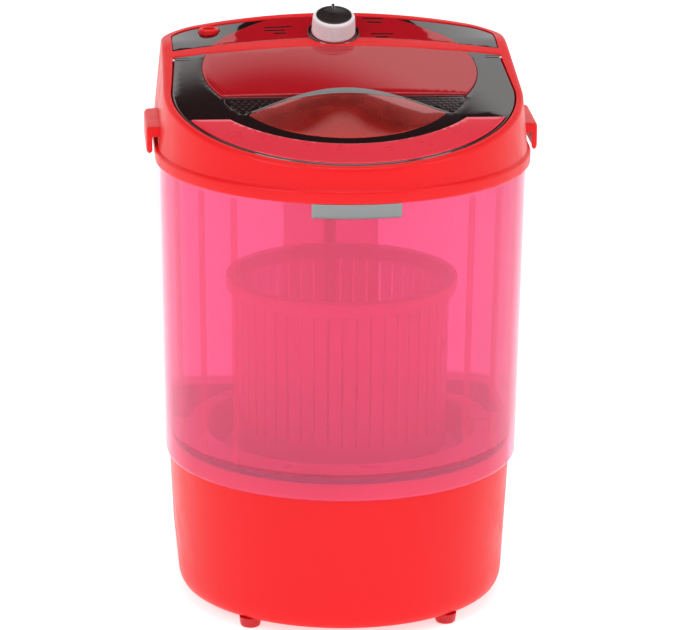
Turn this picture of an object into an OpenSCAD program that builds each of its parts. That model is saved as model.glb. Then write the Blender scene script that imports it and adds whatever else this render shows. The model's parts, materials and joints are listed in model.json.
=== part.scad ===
// Compact top load washing machine with a translucent wash tub, a lift-out spin basket and a
// belt-driven pulsator. The origin is on the floor at the middle of the footprint, Z is up,
// the front faces -Y and the drum turns about the Z axis.

/* [Body] */
// Radius of the collar's lip, the widest part of the body
lip_r = 176; // [174:0.5:180]
// Radius of the tub wall at its upper rim
tub_top_r = 172; // [171:0.5:173]
// Radius of the tub wall at its lower rim
tub_bottom_r = 166.8; // [165:0.2:168]
// Radius of the base housing where it meets the tub
base_top_r = 161.2; // [159:0.2:163]
// Radius of the base housing above its rounded bottom edge
base_low_r = 156; // [154:0.5:158]
// Thickness of the moulded walls
wall = 3; // [2.6:0.1:3.4]
// Height of the joint between base housing and tub
base_top_z = 144; // [140:1:146]
// Height of the tub's upper rim
tub_top_z = 434; // [420:1:440]

/* [Tub floor] */
// Radius of the flat bowl floor under the basket
bowl_r = 112; // [108:1:114]
// Radius of the bowl at the ledge
bowl_top_r = 128; // [124:1:132]
// Height of the ledge around the bowl
ledge_z = 165; // [160:1:168]

/* [Lid and panel] */
// Slope of the lid, rising to the back
lid_slope = 11.2; // [9:0.1:13]
// Height of the lid's plane over the drum axis
lid_z = 491; // [486:1:496]
// Radius of the lid's round front
lid_r = 161; // [158:0.5:162]
// Gap between the lid and the collar
lid_gap = 1; // [0.8:0.1:1.2]
// Height of the control panel at the middle of the back
panel_top_z = 534; // [528:1:540]
// How far the panel's arch drops from its middle towards its corners
panel_drop = 20; // [14:1:24]

/* [Spin basket] */
// Radius of the basket's slotted wall at the top
basket_r = 102; // [98:0.5:104]
// Outer radius of the basket's rim
basket_rim_r = 110; // [107:0.5:112]
// Height of the basket's rim
basket_top_z = 313; // [290:1:320]
// Number of slots, an even number
slot_count = 48; // [24:2:48]

/* [Drive] */
// Radius of the drive shaft
shaft_r = 6; // [5:0.5:6.5]
// Pitch radius of the driven pulley
driven_pitch_r = 70; // [60:1:70]
// Pitch radius of the motor pulley
motor_pitch_r = 20; // [18:1:22]
// Distance from the drum axis to the motor shaft
motor_y = 96; // [95:0.5:98]
// Radius of the motor's case
motor_r = 52; // [46:1:52]
// Radial clearance of the running fits
running = 0.05; // [0.02:0.01:0.09]

/* [Knob and handles] */
// Radius of the timer knob
knob_r = 21; // [18:0.5:22]
// Height of the timer knob along its shaft
knob_h = 19; // [15:0.5:20]
// Reach of the side handles from the middle
handle_x = 184; // [183:0.5:190]
// Length of the side handles
handle_l = 80; // [60:1:90]

/* [Hidden] */
$fn = 96;
eps = 0.01;
big = 400;

red = [0.92, 0.16, 0.17];
pink = [1, 0.35, 0.6, 0.5];
smoked = [0.14, 0.02, 0.04];
steel = [0.75, 0.76, 0.78];

// Middle of the round rear corners, the same for every shell so that all walls stay parallel
corner = 132;

// Base
base_bottom_z = 10;
base_low_z = 40;
base_edge_r = 150;
foot_r = 10.5;
foot_places = [[-92, -108], [92, -108], [-137, 137], [137, 137]];
foot_boss_r = 9;
foot_boss_top = 32;
plate_t = 3;
base_screw_places = [[-104, -92], [104, -92], [-140, 118], [140, 118]];
lug_z = 132;
lug_t = 5;
back_pad_y = 159;
rim_top_z = 155;

// Tub
tub_wall = 2.6;
floor_z = 141;
floor_t = 3;
hub_r = 50;
hub_top = 144;
rib_angles = [40.4, 54.8, 70.5];
rib_r = 3.2;
tub_draft = atan((tub_top_r - tub_bottom_r) / (tub_top_z - base_top_z));

// Collar
lip_bottom_z = 425;
lip_top_z = 437;
collar_r = 173;
collar_draft = 0.1;
collar_top_z = 545;
collar_top_r = collar_r - collar_draft * (collar_top_z - lip_top_z);
collar_wall = 3.5;
mouth_r = 138;
mouth_end = 42;
partition_y = 101;
crown_y = 112;
crown_z = lid_z + crown_y * tan(lid_slope);

// Lid, in its own plane: x across, e up the slope, w out of the plane
lid_circle_e = -5.5;
lid_back_half = 154.5;
lid_back_e = 101;
lid_back_r = 546;
lid_back_mid = 100;
lid_skin = 2.6;
lid_skirt = 11;
hinge_e = 72;
hinge_w = -2;
hinge_r = 3;
pin_r = 1.5;
pin_end_x = 162.5;

// Dome on the lid: a lens between a front arc and a back arc
dome_front_r = 106.3;
dome_front_e = -2.7;
dome_back_r = 132.9;
dome_back_e = -153.4;
dome_h = 10;
trim_w = 2.5;
grip_e = -31.5;

// Panel
fascia_r = 156;
fascia_front_r = 481;
fascia_front_y = 114.8;
fascia_drop = 3.5;
window_drop = 1.2;
knob_y = 125;
panel_slope = atan((panel_top_z - crown_z) / (lip_r - crown_y));
knob_z = crown_z + (knob_y - crown_y) * tan(panel_slope);
timer_shaft_r = 3;
inlet_place = [-119, 142];
inlet_r = 6;

// Drive
seal_r = 17;
bearing_r = 16;
bearing_h = 10;
upper_bearing_z = 121;
lower_bearing_z = 84;
seal_z = 131;
housing_top = floor_z - floor_t;
belt_z = 54;
belt_h = 8;
belt_t = 6;
belt_gap = 0.5;
belt_side_gap = 0.4;
driven_groove_r = driven_pitch_r - belt_t / 2 - belt_gap;
motor_groove_r = motor_pitch_r - belt_t / 2 - belt_gap;
flange_extra = 5;
motor_bottom = 72;
motor_top = 126;
motor_split = 100;
motor_shaft_r = 5;
rotor_r = 30;
bracket_z = 130;
bracket_t = 4;
bracket_screws_at = [[-44, 50], [44, 50], [-42, 94], [42, 94]];
motor_bolt_x = 31;
drain_place = [-85, 45];
drain_z = 40;
drain_r = 12;
drain_bore = 9;
overflow_place = [-38, 144];
overflow_r = 7;
overflow_bore = 5;
conduit_y = 152;
conduit_r = 6.5;
conduit_bore = 5;
duct_half = 46;
duct_y = 135;
capacitor_place = [100, 40];
capacitor_r = 15;
gland_place = [75, 30];
tray_z = 444;

// ---- Shared shapes ----

// Plan of the body: round front, straight sides and a flat back with round corners
module dee(r) {
    circle(r);
    translate([-r, 0]) square([2 * r, corner]);
    translate([-corner, 0]) square([2 * corner, r]);
    for (s = [-1, 1]) translate([s * corner, corner]) circle(r - corner);
}

// The plan as a block with upright walls
module dee_block(r, z1, z2) {
    translate([0, 0, z1]) linear_extrude(z2 - z1) dee(r);
}

// The plan with drafted walls, from cones and wedges that share their edges
module dee_taper(r1, z1, r2, z2) {
    h = z2 - z1;
    translate([0, 0, z1]) cylinder(h = h, r1 = r1, r2 = r2);
    for (s = [-1, 1])
        translate([s * corner, corner, z1]) cylinder(h = h, r1 = r1 - corner, r2 = r2 - corner);
    translate([0, corner, 0]) rotate([90, 0, 0]) linear_extrude(corner)
        polygon([[-r1, z1], [r1, z1], [r2, z2], [-r2, z2]]);
    rotate([90, 0, 90]) translate([0, 0, -corner]) linear_extrude(2 * corner)
        polygon([[0, z1], [r1, z1], [r2, z2], [0, z2]]);
}

// Children placed at each point of a list, at height z
module at_each(places, z) {
    for (p = places) translate([p[0], p[1], z]) children();
}

// A pan head screw whose shank runs up from z = 0, with the head below
module screw_up(r, length, head_r, head_h) {
    cylinder(h = length, r = r);
    translate([0, 0, -head_h]) difference() {
        cylinder(h = head_h, r = head_r);
        translate([0, 0, -eps]) linear_extrude(head_h / 2) square([head_r * 1.3, 1], center = true);
    }
}

// A ring from r_in to r_out
module ring(r_out, r_in, h) {
    difference() {
        cylinder(h = h, r = r_out);
        translate([0, 0, -1]) cylinder(h = h + 2, r = r_in);
    }
}

function tub_r(z) =
    tub_bottom_r + (tub_top_r - tub_bottom_r) * (z - base_top_z) / (tub_top_z - base_top_z);

// ---- Base ----

module base_shell(inset, top) {
    dee_taper(base_edge_r - inset, base_bottom_z, 155 - inset, 22);
    dee_taper(155 - inset, 22, base_low_r - inset, base_low_z);
    dee_taper(base_low_r - inset, base_low_z, base_top_r - inset, top);
}

module base_housing() {
    color(red) difference() {
        union() {
            difference() {
                base_shell(0, base_top_z);
                translate([0, 0, -eps]) base_shell(wall, base_top_z + 2 * eps);
                dee_block(base_edge_r - wall - 1, 0, base_bottom_z + 5);
            }
            // Rim that the tub's skirt drops over
            difference() {
                dee_block(base_top_r, base_top_z - 1, rim_top_z);
                dee_block(base_top_r - wall, base_top_z - 2, rim_top_z + 1);
            }
            // Foot bosses, joined to the wall
            intersection() {
                at_each(foot_places, base_bottom_z + plate_t) {
                    cylinder(h = foot_boss_top - base_bottom_z - plate_t, r = foot_boss_r);
                    linear_extrude(foot_boss_top - base_bottom_z - plate_t - 4)
                        translate([-2, 0]) square([4, 30]);
                }
                base_shell(wall / 2, base_top_z);
            }
            // Lugs for the tub screws
            intersection() {
                at_each(base_screw_places, lug_z) cylinder(h = lug_t, r = 22);
                base_shell(wall / 2, base_top_z);
            }
            // Flat pads at the back for the drain spigot and the cable gland
            for (p = [[drain_place[0], drain_z, 20], [gland_place[0], gland_place[1], 14]])
                translate([p[0], back_pad_y, p[1]]) rotate([90, 0, 0])
                    cylinder(h = 7, r = p[2]);
        }
        at_each(foot_places, 0) cylinder(h = foot_boss_top - 4, r = 2.05);
        at_each(base_screw_places, lug_z - 1) cylinder(h = lug_t + 2, r = 2.3);
        translate([drain_place[0], big, drain_z]) rotate([90, 0, 0])
            cylinder(h = big, r = drain_r + 0.1);
        translate([gland_place[0], big, gland_place[1]]) rotate([90, 0, 0])
            cylinder(h = big, r = 7.1);
    }
}

module bottom_plate() {
    color(red) difference() {
        dee_block(base_edge_r - wall - 1.5, base_bottom_z, base_bottom_z + plate_t);
        at_each(foot_places, 0) cylinder(h = 20, r = 2.3);
        // Cooling slots under the motor
        for (i = [-3:3]) translate([i * 12, motor_y, 0])
            linear_extrude(20) square([5, 60], center = true);
    }
}

module rubber_feet() {
    color(red) at_each(foot_places, 0) difference() {
        union() {
            cylinder(h = 2, r1 = foot_r - 2, r2 = foot_r - 1);
            translate([0, 0, 2]) cylinder(h = base_bottom_z - 2, r1 = foot_r - 1, r2 = foot_r);
        }
        translate([0, 0, -1]) cylinder(h = 20, r = 2.3);
        translate([0, 0, -1]) cylinder(h = 5, r = 5);
    }
}

module foot_screws() {
    color(steel) at_each(foot_places, 4) screw_up(2, 22, 4, 2.5);
}

// ---- Tub ----

module tub_inside(z1, z2) {
    dee_taper(tub_r(z1) - tub_wall, z1, tub_r(z2) - tub_wall, z2);
}

module wash_tub() {
    color(pink) difference() {
        union() {
            dee_taper(tub_bottom_r - 2.5, base_top_z, tub_bottom_r, base_top_z + 3);
            difference() {
                dee_taper(tub_r(base_top_z + 3), base_top_z + 3, tub_top_r, tub_top_z);
                tub_inside(ledge_z, tub_top_z + 1);
            }
            // Bowl and centre hub
            translate([0, 0, housing_top]) rotate_extrude()
                polygon([[0, 0], [bowl_r + 2, 0], [bowl_top_r + 3, ledge_z - floor_t - housing_top],
                         [0, ledge_z - floor_t - housing_top]]);
            at_each(bracket_screws_at, bracket_z + bracket_t) cylinder(h = 6, r = 7);
            at_each(base_screw_places, lug_z + lug_t) cylinder(h = 30, r = 7);
            // Stiffening ribs inside the wall
            for (a = rib_angles, s = [-1, 1])
                rotate([0, 0, -90 + s * a]) translate([tub_r(168) - tub_wall - 1.2, 0, ledge_z - 1])
                    rotate([0, tub_draft, 0]) cylinder(h = 256, r = rib_r);
        }
        // Space under the ledge, outside the bowl
        difference() {
            union() {
                dee_block(tub_bottom_r - 4, base_top_z + 3, ledge_z - floor_t);
                dee_block(base_top_r + 0.5, base_top_z - 1, base_top_z + 4);
            }
            translate([0, 0, housing_top]) rotate_extrude()
                polygon([[0, 0], [bowl_r + 2, 0], [bowl_top_r + 3, ledge_z - floor_t - housing_top],
                         [0, ledge_z - floor_t - housing_top]]);
            at_each(base_screw_places, lug_z + lug_t) cylinder(h = 30, r = 7);
        }
        // Inside of the bowl
        translate([0, 0, floor_z]) difference() {
            cylinder(h = ledge_z - floor_z + eps, r1 = bowl_r, r2 = bowl_top_r);
            translate([0, 0, -eps]) cylinder(h = hub_top - floor_z, r = hub_r);
        }
        translate([0, 0, housing_top - 1]) cylinder(h = 20, r = 12);
        at_each(bracket_screws_at, bracket_z) cylinder(h = 9.5, r = 2.02);
        at_each(base_screw_places, lug_z) cylinder(h = 22, r = 2.02);
        for (a = [45:90:315])
            rotate([0, 0, a]) translate([36, 0, housing_top - 1]) cylinder(h = 5.5, r = 2.02);
        translate([drain_place[0], drain_place[1], 100]) cylinder(h = 60, r = drain_bore);
        translate([overflow_place[0], overflow_place[1], ledge_z - 10])
            cylinder(h = 20, r = overflow_bore);
        translate([0, conduit_y, ledge_z - 10]) cylinder(h = 20, r = conduit_r + 0.05);
    }
}

module base_screws() {
    color(steel) at_each(base_screw_places, lug_z) screw_up(2, 18, 4, 2.5);
}

module label_plate() {
    color("silver") intersection() {
        translate([0, 0, 411]) ring(tub_top_r + 1.2, tub_top_r + 0.1, 13.7);
        translate([-41, -lip_r, 400]) cube([82, 60, 30]);
    }
}

module overflow_cover() {
    color(pink) difference() {
        intersection() {
            dee_taper(tub_r(ledge_z) - tub_wall - 0.1, ledge_z,
                      tub_r(lip_bottom_z) - tub_wall - 0.1, lip_bottom_z);
            translate([-duct_half, duct_y, 0]) cube([2 * duct_half, 60, big + 100]);
        }
        translate([-duct_half + 2, duct_y + 2, 0]) cube([2 * duct_half - 4, 60, lip_bottom_z - 2]);
        for (i = [-2:2]) translate([i * 15 - 4, duct_y - 5, 396]) cube([8, 12, 20]);
        translate([0, conduit_y, lip_bottom_z - 10]) cylinder(h = 20, r = conduit_r + 0.05);
    }
}

// ---- Collar and control panel ----

// Everything under the top surface: the lid's plane in front, the arched panel behind
module under_top(drop) {
    rotate([90, 0, 90]) translate([0, 0, -big / 2]) linear_extrude(big)
        polygon([[-lip_r - 20, 300], [crown_y, 300], [crown_y, crown_z - drop],
                 [-lip_r - 20, lid_z - (lip_r + 20) * tan(lid_slope) - drop]]);
    hull() {
        translate([-lip_r, crown_y - eps, 300]) cube([2 * lip_r, eps, crown_z - drop - 300]);
        translate([0, lip_r + eps, 0]) rotate([90, 0, 0]) linear_extrude(eps)
            polygon([for (i = [-8:8]) [i * 22, panel_top_z - drop - panel_drop * pow(i * 22 / 150, 2)],
                     [lip_r, 300], [-lip_r, 300]]);
    }
}

module collar_outside(inset) {
    dee_taper(collar_r - inset, lip_top_z, collar_top_r - inset, collar_top_z);
}

// Moves children from the lid's plane to their place
module on_lid() {
    translate([0, 0, lid_z]) rotate([lid_slope, 0, 0]) children();
}

module lid_outline(gap) {
    intersection() {
        union() {
            translate([0, lid_circle_e]) circle(lid_r - gap);
            polygon([[-lid_r + gap, lid_circle_e], [lid_r - gap, lid_circle_e],
                     [lid_back_half - gap, lid_back_e], [-lid_back_half + gap, lid_back_e]]);
        }
        translate([0, lid_back_mid - lid_back_r]) circle(lid_back_r - gap, $fn = 360);
    }
}

module lid_slab(gap, w1, w2) {
    on_lid() translate([0, 0, w1]) linear_extrude(w2 - w1) lid_outline(gap);
}

module fascia_plan(inset) {
    difference() {
        dee(fascia_r - inset);
        translate([0, fascia_front_y - fascia_front_r]) circle(fascia_front_r + inset, $fn = 360);
    }
}

module fascia_block(inset) {
    translate([0, 0, 480]) linear_extrude(80) fascia_plan(inset);
}

// Moves children to the knob's seat, with z along the timer shaft
module on_knob() {
    translate([0, knob_y, knob_z]) rotate([panel_slope, 0, 0]) children();
}

module top_collar() {
    color(red) difference() {
        union() {
            difference() {
                union() {
                    dee_block(lip_r, lip_bottom_z, lip_top_z);
                    intersection() {
                        collar_outside(0);
                        under_top(0);
                    }
                }
                // Inside of the collar and of the panel box
                intersection() {
                    dee_taper(collar_r - collar_wall, tub_top_z, collar_top_r - collar_wall,
                              collar_top_z);
                    under_top(collar_wall + fascia_drop - 0.5);
                }
                dee_block(tub_top_r + 0.3, lip_bottom_z - 1, tub_top_z);
                fascia_recess();
            }
            // Ledge around the loading mouth
            intersection() {
                collar_outside(collar_wall - 1);
                on_lid() difference() {
                    translate([-big / 2, -big / 2, -18]) cube([big, big / 2 + mouth_end, 3]);
                    translate([0, 0, -60]) cylinder(h = 90, r = mouth_r);
                }
            }
            // Wall between the mouth and the panel box
            intersection() {
                collar_outside(collar_wall - 1);
                under_top(fascia_drop + 1);
                translate([-big / 2, partition_y, tub_top_z]) cube([big, wall, big]);
            }
            // Lugs for the hinge pins
            intersection() {
                collar_outside(1);
                under_top(0.5);
                for (s = [-1, 1]) on_lid()
                    translate([s * 161.5 - 5, hinge_e - 7, hinge_w - 7]) cube([10, 14, 10.5]);
            }
        }
        lid_slab(0, -collar_wall - 5, 20);
        on_lid() translate([-pin_end_x, hinge_e, hinge_w]) rotate([0, 90, 0])
            cylinder(h = 2 * pin_end_x, r = pin_r + 0.02);
        on_knob() translate([0, 0, -40]) cylinder(h = 60, r = 6);
        // Seat for the ring around the knob
        on_knob() cylinder(h = 20, r = 25.4);
        translate([inlet_place[0], inlet_place[1], 480]) cylinder(h = 80, r = 10.1);
        for (s = [-1, 1], y = [22, 58]) translate([s * 160, y, 451]) rotate([0, s * 90, 0])
            translate([0, 0, -5]) cylinder(h = 30, r = 2.1);
    }
}

module fascia_recess() {
    difference() {
        fascia_block(0);
        under_top(fascia_drop);
    }
}

module panel_fascia() {
    color(smoked) difference() {
        intersection() {
            fascia_block(0.3);
            under_top(window_drop);
        }
        under_top(fascia_drop);
        on_knob() translate([0, 0, -40]) cylinder(h = 60, r = 6);
        translate([inlet_place[0], inlet_place[1], 480]) cylinder(h = 80, r = 10.1);
    }
}

// Plan of the arched window: wide at the front edge and narrow at the back
module window_plan() {
    intersection() {
        fascia_plan(0.3);
        polygon([[-118, 90], [118, 90], [112, 112], [92, 135], [58, fascia_r],
                 [-58, fascia_r], [-92, 135], [-112, 112]]);
    }
}

module panel_window() {
    color([0.6, 0.05, 0.1]) difference() {
        intersection() {
            translate([0, 0, 480]) linear_extrude(80) window_plan();
            under_top(0);
        }
        under_top(window_drop);
        on_knob() translate([0, 0, -40]) cylinder(h = 60, r = 6);
    }
}

module knob_bezel() {
    color(smoked) on_knob() translate([0, 0, 0.1]) ring(25, 22, 1.5);
}

module inlet_port() {
    top = 519;
    color(red) translate([inlet_place[0], inlet_place[1], 0]) difference() {
        union() {
            translate([0, 0, top - 14]) cylinder(h = 14, r = 10);
            translate([0, 0, tray_z - 12]) cylinder(h = top - tray_z + 10, r = 8);
        }
        translate([0, 0, 400]) cylinder(h = 200, r = inlet_r);
    }
}

module splash_tray() {
    color(red) difference() {
        intersection() {
            dee_block(collar_r - collar_wall - 1.5, tray_z, tray_z + 2.5);
            translate([-big / 2, partition_y + wall + 0.1, 0]) cube([big, big, big * 2]);
        }
        translate([0, conduit_y, tray_z - 1]) cylinder(h = 10, r = conduit_r + 0.05);
        translate([inlet_place[0], inlet_place[1], tray_z - 1]) cylinder(h = 10, r = 8.1);
    }
}

module handle_profile() {
    polygon([[150, 446], [handle_x - 3.6, 446], [handle_x - 3.6, 430], [handle_x - 1.6, 430],
             [handle_x, 433], [handle_x, 453], [handle_x - 3, 456], [150, 456]]);
}

module handle(side) {
    color(red) difference() {
        translate([0, handle_l, 0]) mirror([side < 0 ? 1 : 0, 0, 0])
            rotate([90, 0, 0]) linear_extrude(handle_l) handle_profile();
        collar_outside(-0.02);
        dee_block(lip_r + 0.02, lip_bottom_z - 10, lip_top_z);
        for (y = [22, 58]) translate([side * 150, y, 451]) rotate([0, side * 90, 0])
            cylinder(h = 26, r = 1.62);
    }
}

module left_handle() {
    handle(-1);
}

module right_handle() {
    handle(1);
}

module handle_screws() {
    color(steel) for (s = [-1, 1], y = [22, 58])
        translate([s * 167.4, y, 451]) rotate([0, s * 90, 0]) screw_up(1.6, 7.5, 3.2, 1.6);
}

// ---- Timer ----

module timer_block() {
    translate([-24, -16, -42]) cube([48, 34, 35.5]);
}

module timer_body() {
    color("gray") on_knob() difference() {
        timer_block();
        translate([0, 0, -34]) cylinder(h = 60, r = timer_shaft_r + running);
    }
}

module timer_shaft() {
    color(steel) on_knob() translate([0, 0, -33]) cylinder(h = 48, r = timer_shaft_r);
}

module timer_knob() {
    color("white") on_knob() difference() {
        translate([0, 0, 1]) cylinder(h = knob_h - 1, r1 = knob_r, r2 = knob_r - 1);
        translate([0, 0, -1]) cylinder(h = 16.2, r = timer_shaft_r + 0.02);
        translate([0, 0, -1]) ring(knob_r - 4, timer_shaft_r + 3, 12);
    }
}

module knob_cap() {
    color(smoked) on_knob() translate([0, 0, knob_h]) {
        cylinder(h = 1.2, r = knob_r - 4);
        translate([-1.5, 3, 1.2]) cube([3, 13, 3.5]);
    }
}

// ---- Lid ----

module hinge_pins() {
    color(steel) for (s = [-1, 1]) on_lid()
        translate([s * (pin_end_x - 9.6), hinge_e, hinge_w]) rotate([0, 90, 0])
            translate([0, 0, -9.5]) cylinder(h = 19, r = pin_r);
}

module window_outline(gap) {
    intersection() {
        translate([0, 45]) circle(130 - gap);
        translate([-big / 2, -17 + gap]) square([big, big]);
        translate([0, lid_back_mid - lid_back_r]) circle(lid_back_r - 6 - gap, $fn = 360);
    }
}

module front_band_outline(gap) {
    difference() {
        lid_outline(3 + gap);
        translate([0, 14]) circle(136 + gap);
        translate([-big / 2, -68 - gap]) square([big, big]);
    }
}

module grille_outline(gap) {
    difference() {
        intersection() {
            translate([-112 + gap, -58 + gap]) square([224 - 2 * gap, 40 - 2 * gap]);
            translate([0, 14]) circle(120 - gap);
        }
        translate([-48 - gap, -80]) square([96 + 2 * gap, 80]);
        translate([0, dome_back_e]) circle(dome_back_r + trim_w + 1.5 + gap);
    }
}

module lid_frame() {
    color(smoked) difference() {
        union() {
            difference() {
                lid_slab(lid_gap, -lid_skin, 0);
                on_lid() translate([0, 0, -5]) linear_extrude(10) {
                    window_outline(0);
                    grille_outline(0);
                }
                on_lid() translate([0, 0, -1]) linear_extrude(10) front_band_outline(0);
            }
            difference() {
                lid_slab(lid_gap + 4, -lid_skirt, -lid_skin);
                lid_slab(lid_gap + 6.5, -lid_skirt - 1, -lid_skin + 1);
            }
            for (s = [-1, 1]) on_lid() translate([s * 147.5, hinge_e, hinge_w]) {
                rotate([0, 90, 0]) translate([0, 0, -6.5]) cylinder(h = 13, r = hinge_r);
                translate([-6.5, -hinge_r, 0]) cube([13, 2 * hinge_r, 2]);
            }
        }
        on_lid() translate([-big / 2, hinge_e, hinge_w]) rotate([0, 90, 0])
            cylinder(h = big, r = pin_r + running);
    }
}

module lid_window() {
    color([0.85, 0.12, 0.2, 0.7]) on_lid() difference() {
        translate([0, 0, -2]) linear_extrude(5) window_outline(0.2);
        translate([0, 0, -3]) linear_extrude(3.5) window_outline(2.7);
    }
}

module dome_lens(grow) {
    intersection() {
        translate([0, dome_front_e]) circle(dome_front_r + grow);
        translate([0, dome_back_e]) circle(dome_back_r + grow);
    }
}

function dome_back(x) = dome_back_e + sqrt(pow(dome_back_r, 2) - x * x);
function dome_height(x) = dome_h * pow(cos(x * 90 / 92), 2);

// The dome's outside, or its inside with an inset
module dome_hull(inset) {
    hull() {
        linear_extrude(0.6) dome_lens(-inset);
        for (x = [-75:15:75]) translate([x - 1, dome_back(x) - 2.5 - inset, 0])
            cube([2, 2, max(0.6, dome_height(x) - inset)]);
        for (x = [-40:20:40]) translate([x - 1, dome_back(x) - 34, 0])
            cube([2, 2, dome_height(x) * 0.93 - inset]);
    }
}

// Plan of the finger lip: the part of the dome's back edge behind grip_e
module grip_outline(grow) {
    intersection() {
        translate([0, dome_back_e]) circle(dome_back_r + trim_w + grow, $fn = 360);
        translate([-big / 2, grip_e - grow]) square([big, 40]);
    }
}

module lid_grip_dome() {
    color([0.75, 0.08, 0.05]) on_lid() difference() {
        translate([0, 0, 0.02]) dome_hull(0);
        translate([0, 0, -0.3]) dome_hull(2);
        translate([0, 0, -1]) linear_extrude(dome_h + 5) grip_outline(0.2);
    }
}

module lid_trim_arc() {
    half = 84;
    color("silver") on_lid() intersection() {
        translate([0, 0, 0.02]) linear_extrude(dome_h + 2) {
            grip_outline(0);
            difference() {
                translate([0, dome_back_e]) circle(dome_back_r + trim_w, $fn = 360);
                translate([0, dome_back_e]) circle(dome_back_r + 0.3, $fn = 360);
            }
        }
        translate([0, big, 0]) rotate([90, 0, 0]) linear_extrude(big + 100)
            polygon([for (x = [-half:6:half]) [x, dome_height(x) + 0.8], [half, 0], [-half, 0]]);
    }
}

module lid_front_band() {
    color([0.93, 0.17, 0.25]) on_lid() translate([0, 0, -0.98]) linear_extrude(2.5)
        front_band_outline(0.2);
}

module lid_grilles() {
    color(smoked) on_lid() translate([0, 0, -2]) linear_extrude(1.8) difference() {
        grille_outline(0.15);
        for (i = [-17:17], j = [0:6])
            translate([i * 6.4 + (j % 2) * 3.2, -54 + j * 5.6]) circle(1.3, $fn = 16);
    }
}

// ---- Drive ----

module bearing_housing() {
    color("silver") difference() {
        union() {
            translate([0, 0, housing_top - 6]) cylinder(h = 6, r = 44);
            translate([0, 0, lower_bearing_z]) cylinder(h = 50, r = 22);
            for (a = [0:60:300]) rotate([0, 0, a])
                translate([20, -1.5, 100]) cube([20, 3, 33]);
        }
        translate([0, 0, seal_z]) cylinder(h = 20, r = seal_r + 0.02);
        translate([0, 0, upper_bearing_z]) cylinder(h = 20, r = bearing_r + 0.02);
        translate([0, 0, lower_bearing_z - 1]) cylinder(h = bearing_h + 1, r = bearing_r + 0.02);
        translate([0, 0, 80]) cylinder(h = 60, r = 13);
        for (a = [45:90:315]) rotate([0, 0, a]) translate([36, 0, 100]) cylinder(h = 60, r = 2.3);
    }
}

module housing_screws() {
    color(steel) for (a = [45:90:315])
        rotate([0, 0, a]) translate([36, 0, housing_top - 6]) screw_up(2, 10, 4, 2.5);
}

module shaft_seal() {
    color("black") translate([0, 0, seal_z]) ring(seal_r, shaft_r + running, 6.9);
}

module ball_bearing(z) {
    color(steel) translate([0, 0, z]) difference() {
        ring(bearing_r, shaft_r + running, bearing_h);
        for (h = [-1, bearing_h - 1]) translate([0, 0, h]) ring(13, 9, 2);
    }
}

module upper_bearing() {
    ball_bearing(upper_bearing_z);
}

module lower_bearing() {
    ball_bearing(lower_bearing_z);
}

module drive_shaft() {
    color(steel) difference() {
        translate([0, 0, 38]) cylinder(h = 132, r = shaft_r);
        translate([0, 0, 152]) cylinder(h = 20, r = 2.52);
    }
}

module pulsator() {
    color("hotpink") difference() {
        union() {
            translate([0, 0, 146]) cylinder(h = 4, r = 82);
            translate([0, 0, 146]) ring(84, 80, 8);
            translate([0, 0, 146]) cylinder(h = 36, r1 = 18, r2 = 16);
            for (a = [0:60:300]) rotate([0, 0, a]) translate([10, -3, 148])
                cube([68, 6, 12]);
        }
        translate([0, 0, 140]) cylinder(h = 40, r = shaft_r + 0.02);
        translate([0, 0, 170]) cylinder(h = 20, r = 9);
    }
}

module pulsator_screw() {
    color(steel) translate([0, 0, 170]) {
        cylinder(h = 1.2, r = 8);
        cylinder(h = 4.5, r = 4.5);
        translate([0, 0, -14]) cylinder(h = 15, r = 2.5);
    }
}

module pulsator_cap() {
    color("hotpink") translate([0, 0, 178]) cylinder(h = 4, r = 8.98);
}

module pulley(groove_r, bore, hub_r, hub_z1, hub_z2) {
    z1 = belt_z - belt_side_gap;
    z2 = belt_z + belt_h + belt_side_gap;
    difference() {
        union() {
            translate([0, 0, z1]) cylinder(h = z2 - z1, r = groove_r);
            for (z = [z1 - 2.5, z2]) translate([0, 0, z])
                cylinder(h = 2.5, r = groove_r + flange_extra);
            translate([0, 0, hub_z1]) cylinder(h = hub_z2 - hub_z1, r = hub_r);
        }
        translate([0, 0, hub_z1 - 1]) cylinder(h = hub_z2 - hub_z1 + 2, r = bore);
        if (groove_r > 3 * hub_r) {
            for (z = [z1 - 3, (z1 + z2) / 2 + 2]) translate([0, 0, z])
                ring(groove_r - 7, hub_r + 3, (z2 - z1) / 2 + 1);
            for (a = [0:60:300]) rotate([0, 0, a]) translate([groove_r * 0.56, 0, 0])
                cylinder(h = 100, r = 11);
        }
    }
}

module driven_pulley() {
    color("silver") pulley(driven_groove_r, shaft_r + 0.02, 14, 48, 68);
}

module pulley_nut() {
    color(steel) translate([0, 0, 41]) difference() {
        cylinder(h = 7, r = 10.5, $fn = 6);
        translate([0, 0, -1]) cylinder(h = 9, r = shaft_r + 0.02);
    }
}

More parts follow.
